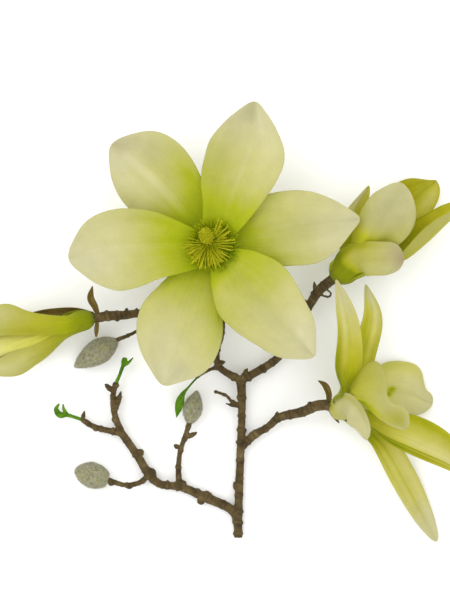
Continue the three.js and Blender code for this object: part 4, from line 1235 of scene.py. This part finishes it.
def ribbedCup(name, profile, base, axis, node, material):
    profile = np.array(profile, float)
    walked = np.concatenate([[0], np.cumsum(np.linalg.norm(np.diff(profile, axis=0), axis=1))])
    steps = np.linspace(0, 1, cups["steps"]) * walked[-1]
    fine = np.stack([np.interp(steps, walked, profile[:, k]) for k in (0, 1)], axis=1)
    for _ in range(2):
        fine[1:-1] = (fine[:-2] + 2 * fine[1:-1] + fine[2:]) / 4
    piece = newPiece(name, *turnedShape(fine, base, axis, cups["sides"]))
    places, _ = readPoints(piece)
    axis, first, second = squareTo(axis)
    out = places - base
    level = out @ axis
    flat = out - level[:, None] * axis
    ribs = cups["ribDepth"] * np.cos(cups["ribs"] * np.arctan2(out @ second, out @ first) + 0.12 * level)
    ribs *= smoothstep(1, 3, np.linalg.norm(flat, axis=1))
    writePoints(piece, places + unit(flat) * ribs[:, None])
    finishPiece(piece, material, "petal_base", node)


def ringSheet(name, middle, shape, rings=14, sides=72):
    # a flared ring, or part of one, round an upright line, to grow things on
    points, faces = [], []
    low, high = shape.get("arc", (0, 360))
    steps = sides if high - low == 360 else sides - 1
    for ring in range(rings + 1):
        share = ring / rings
        far = shape["inner"] + (shape["outer"] - shape["inner"]) * share
        for side in range(sides):
            angle = math.radians(low) + math.radians(high - low) * side / steps
            wave = 0.35 * share * math.sin(5 * angle + 1.3) + 0.2 * share * math.sin(9 * angle)
            points.append((middle[0] + far * math.cos(angle), middle[1] + far * math.sin(angle),
                           bloom["foot"][2] + shape["height"] + shape["rise"] * share ** 1.6 + wave))
    for ring in range(rings):
        for side in range(steps):
            a, b = ring * sides + side, ring * sides + (side + 1) % sides
            faces.append((a, a + sides, b + sides, b))
    return newPiece(name, points, faces)


def lightSide(piece):
    # painted shade: 0 on the side that is painted darkest, rising to 1 round the main bloom's middle
    away = readPoints(piece)[0] - bloom["foot"]
    angle = np.arctan2(away[:, 1], away[:, 0])
    return 1 - smoothstep(0.1, 0.9, np.cos(angle - math.radians(stamens["paintedShadeSide"])))


def makeCups():
    look = makeGreen("cup", scale=260.0)
    ribbedCup("main_cup", cups["main"], bloom["foot"], up, "main_receptacle", look)
    for title, flower in flowers.items():
        ribbedCup(f"{title}_cup", np.multiply(cups["side"], (flower["wide"], flower["height"])),
                  flower["limbEnd"] + unit(flower["axis"]) * joint["gap"], flower["axis"],
                  f"{title}_receptacle", look)


def makeKnobs():
    look = makeGreen("knob", scale=900.0)
    for title in ("main", "upper", "right"):
        knob = newPiece(f"{title}_knob", *eggShape(**{**knobs["slim"], **knobs[title]}))
        grow(knob, nubTree, {**knobs["nubs"], "Nub Material": look})
        finishPiece(knob, look, "pistil", f"{title}_pistil")


def makeStamens():
    dish = stamens["dish"]
    plate = ringSheet("main_stamen_dish", bloom["foot"], dish)
    solid = plate.modifiers.new("thick", "SOLIDIFY")
    solid.thickness = dish["thickness"] * mm
    bakeModifiers(plate)
    # the dish's number is only painted shade: darker on one side of the bloom's middle
    addNumbers(plate, "reachAndPaintedShade", lightSide(plate))
    finishPiece(plate, makeGreen("dish", scale=320.0, reachAndPaintedShade=True), "stamen", "main_stamens")
    for kind in ("filament", "bristle"):
        shape, look = stamens[kind], makeGreen(kind, reachAndPaintedShade=True)
        ring = ringSheet(f"main_{kind}s", shape["middle"], shape)
        part = (shape["arc"][1] - shape["arc"][0]) / 360
        area = part * math.pi * (shape["outer"] ** 2 - shape["inner"] ** 2) * mm * mm
        middle = tuple(part * mm for part in (*shape["middle"], bloom["foot"][2]))
        grow(ring, threadTree, {"Density": shape["count"] / area, "Length": shape["length"] * mm,
                                "Thread Radius": shape["radius"] * mm, "Middle": middle, "Seed": 7,
                                "Thread Material": look, **shape["curve"]})
        if kind == "bristle":
            reachAndPaintedShade = np.empty(len(ring.data.vertices), np.float32)
            ring.data.attributes["reachAndPaintedShade"].data.foreach_get("value", reachAndPaintedShade)
            # lighter towards the bristles' tips, times painted shade that darkens them on one side of the
            # bloom's middle
            reachAndPaintedShade = (0.35 + 0.65 * reachAndPaintedShade) * (0.15 + 0.85 * lightSide(ring))
            ring.data.attributes["reachAndPaintedShade"].data.foreach_set("value", reachAndPaintedShade)
        finishPiece(ring, look, "stamen")


makeCups()
makeKnobs()
makeStamens()
print("middle of the bloom and cups made")


# Bud scales, shoots and the leaf.

scales = {
    "left_long_scale": {
        "spine": [(-68.6, 5.4, 14), (-77.5, 7, 13), (-88.4, 6.4, 14), (-98.8, 5.4, 15), (-105, 4.6, 15.6)],
        "wide": [1, 1.8, 2.4, 2.2, 1], "face": (0, -0.3, 0.95),
    },
    "left_scale_high": {
        "spine": [(-66.4, 4.8, 18), (-68, 9, 18.4), (-70.2, 13.4, 19), (-69, 19.8, 19.6)],
        "wide": [1.3, 2, 2.2, 1], "face": (0.4, 0, 0.9),
    },
    "left_scale_low": {
        "spine": [(-66.6, 1.4, 18), (-67, -3, 18.4), (-67.2, -7, 18)], "wide": [0.9, 1.3, 0.9], "face": up,
    },
    "right_scale_high": {
        "spine": [(54, -41, 20.4), (54, -36.4, 21.2), (52, -32, 22), (48.4, -29.4, 22)],
        "wide": [1.3, 1.7, 1.9, 1], "face": (0, 0.3, 1),
    },
    "right_scale_low": {
        "spine": [(53.8, -43.4, 17.6), (57, -48.2, 15.8), (59.6, -51.8, 15)], "wide": [0.9, 1.2, 0.8],
        "face": up,
    },
}
scalePlain = {
    "cup": [40, 40, 30],
    "detail": {"rows": 40, "columns": 14, "thickness": 0.5, "rimWave": 0.3, "rimRoll": 0.3, "pleats": 0.35,
               "tipPinch": 0.4, "blunt": 4},
}
scaleColours = {
    "stops": [(0.0, (46, 36, 14)), (0.4, (80, 66, 30)), (0.7, (104, 90, 48)), (1.0, (134, 124, 74))],
    "inside": [(0.0, (62, 50, 14)), (0.5, (98, 80, 24)), (1.0, (132, 110, 46))],
}


def makeScaleMaterial():
    material, tree, shader, place = makeMaterial("papery", {"Roughness": 0.7, "Specular IOR Level": 0.3})
    fibres = addRibs(tree, 16.0, 3.0)["Mask"]
    tone = spread(tree, fibres, 0.25, 2.0)
    colour = mixColour(tree, pieceNumber(tree, "outerSide"), addRamp(tree, tone, scaleColours["inside"]),
                       addRamp(tree, tone, scaleColours["stops"]))
    mottle(tree, shader, colour, place, clouds=(220.0, 0.12), specks=(2200.0, 0.08))
    addBump(tree, shader, fibres, 0.7, 0.4)
    return material


papery = makeScaleMaterial()
for name, shape in scales.items():
    makePetal(name, {**scalePlain, **shape}, papery, "bud_scale")

shoots = {
    "shoot_left": [
        [(-74.4, -50.4, 4, 0.9), (-79.6, -48.6, 4, 0.9), (-83.4, -47.6, 4, 1.1)],
        [(-83, -47.6, 4, 1.2), (-86.6, -47.6, 4, 1.7), (-88.4, -44.6, 4.4, 1.3), (-86.8, -41.8, 4.6, 0.5)],
        [(-82.6, -47.6, 4, 0.9), (-84.4, -44.8, 4.8, 0.9), (-84.8, -42, 5.2, 0.4)],
    ],
    "shoot_up": [
        [(-57.2, -31.8, 6.8, 1), (-55, -26.4, 7.2, 0.9), (-53.2, -21.6, 7.4, 1)],
        [(-53.4, -22, 7.4, 1), (-52.6, -19.6, 7.4, 1.7), (-52.4, -17.6, 7.4, 1.2)],
        [(-53, -22, 7.4, 0.8), (-50.4, -20.2, 7.8, 0.8), (-48, -17.6, 8, 0.3)],
    ],
}
leaf = {
    "spine": [(-14, -27.4, 8.3), (-18.5, -32.4, 9.4), (-22.4, -37.4, 9.4), (-24, -43, 8.4), (-25.4, -49, 7)],
    "wide": [0.5, 0.5, 0.6, 1.4, 2.6, 2.4, 1],
    "face": up,
    "cup": [20, 20, 30],
    "detail": {"columns": 16, "rimWave": 0.2, "pleats": 0.2, "crease": 0.3, "tipPinch": 0.3, "blunt": 4},
}
shootDetail = {"sides": 12, "ringStep": 0.4, "voxel": 0.22, "lumps": 0.12}


def makeShoot(name, stems, material):
    shapes = [capsule(*splitPoints(stem), shootDetail["sides"], shootDetail["ringStep"]) for stem in stems]
    shoot = newPiece(f"{name}_skin", *joinShapes(shapes))
    melt(shoot, shootDetail["voxel"])
    pushOut(shoot, lambda places: shootDetail["lumps"] * cloudAt(places, 0.9, 2.0))
    finishPiece(shoot, material, "shoot", name)


shootGreen = makeGreen("shoot", scale=220.0, roughness=0.5)
for name, stems in shoots.items():
    makeShoot(name, stems, shootGreen)
makePetal("leaf", leaf, shootGreen, "shoot")
print("scales, shoots and leaf made")
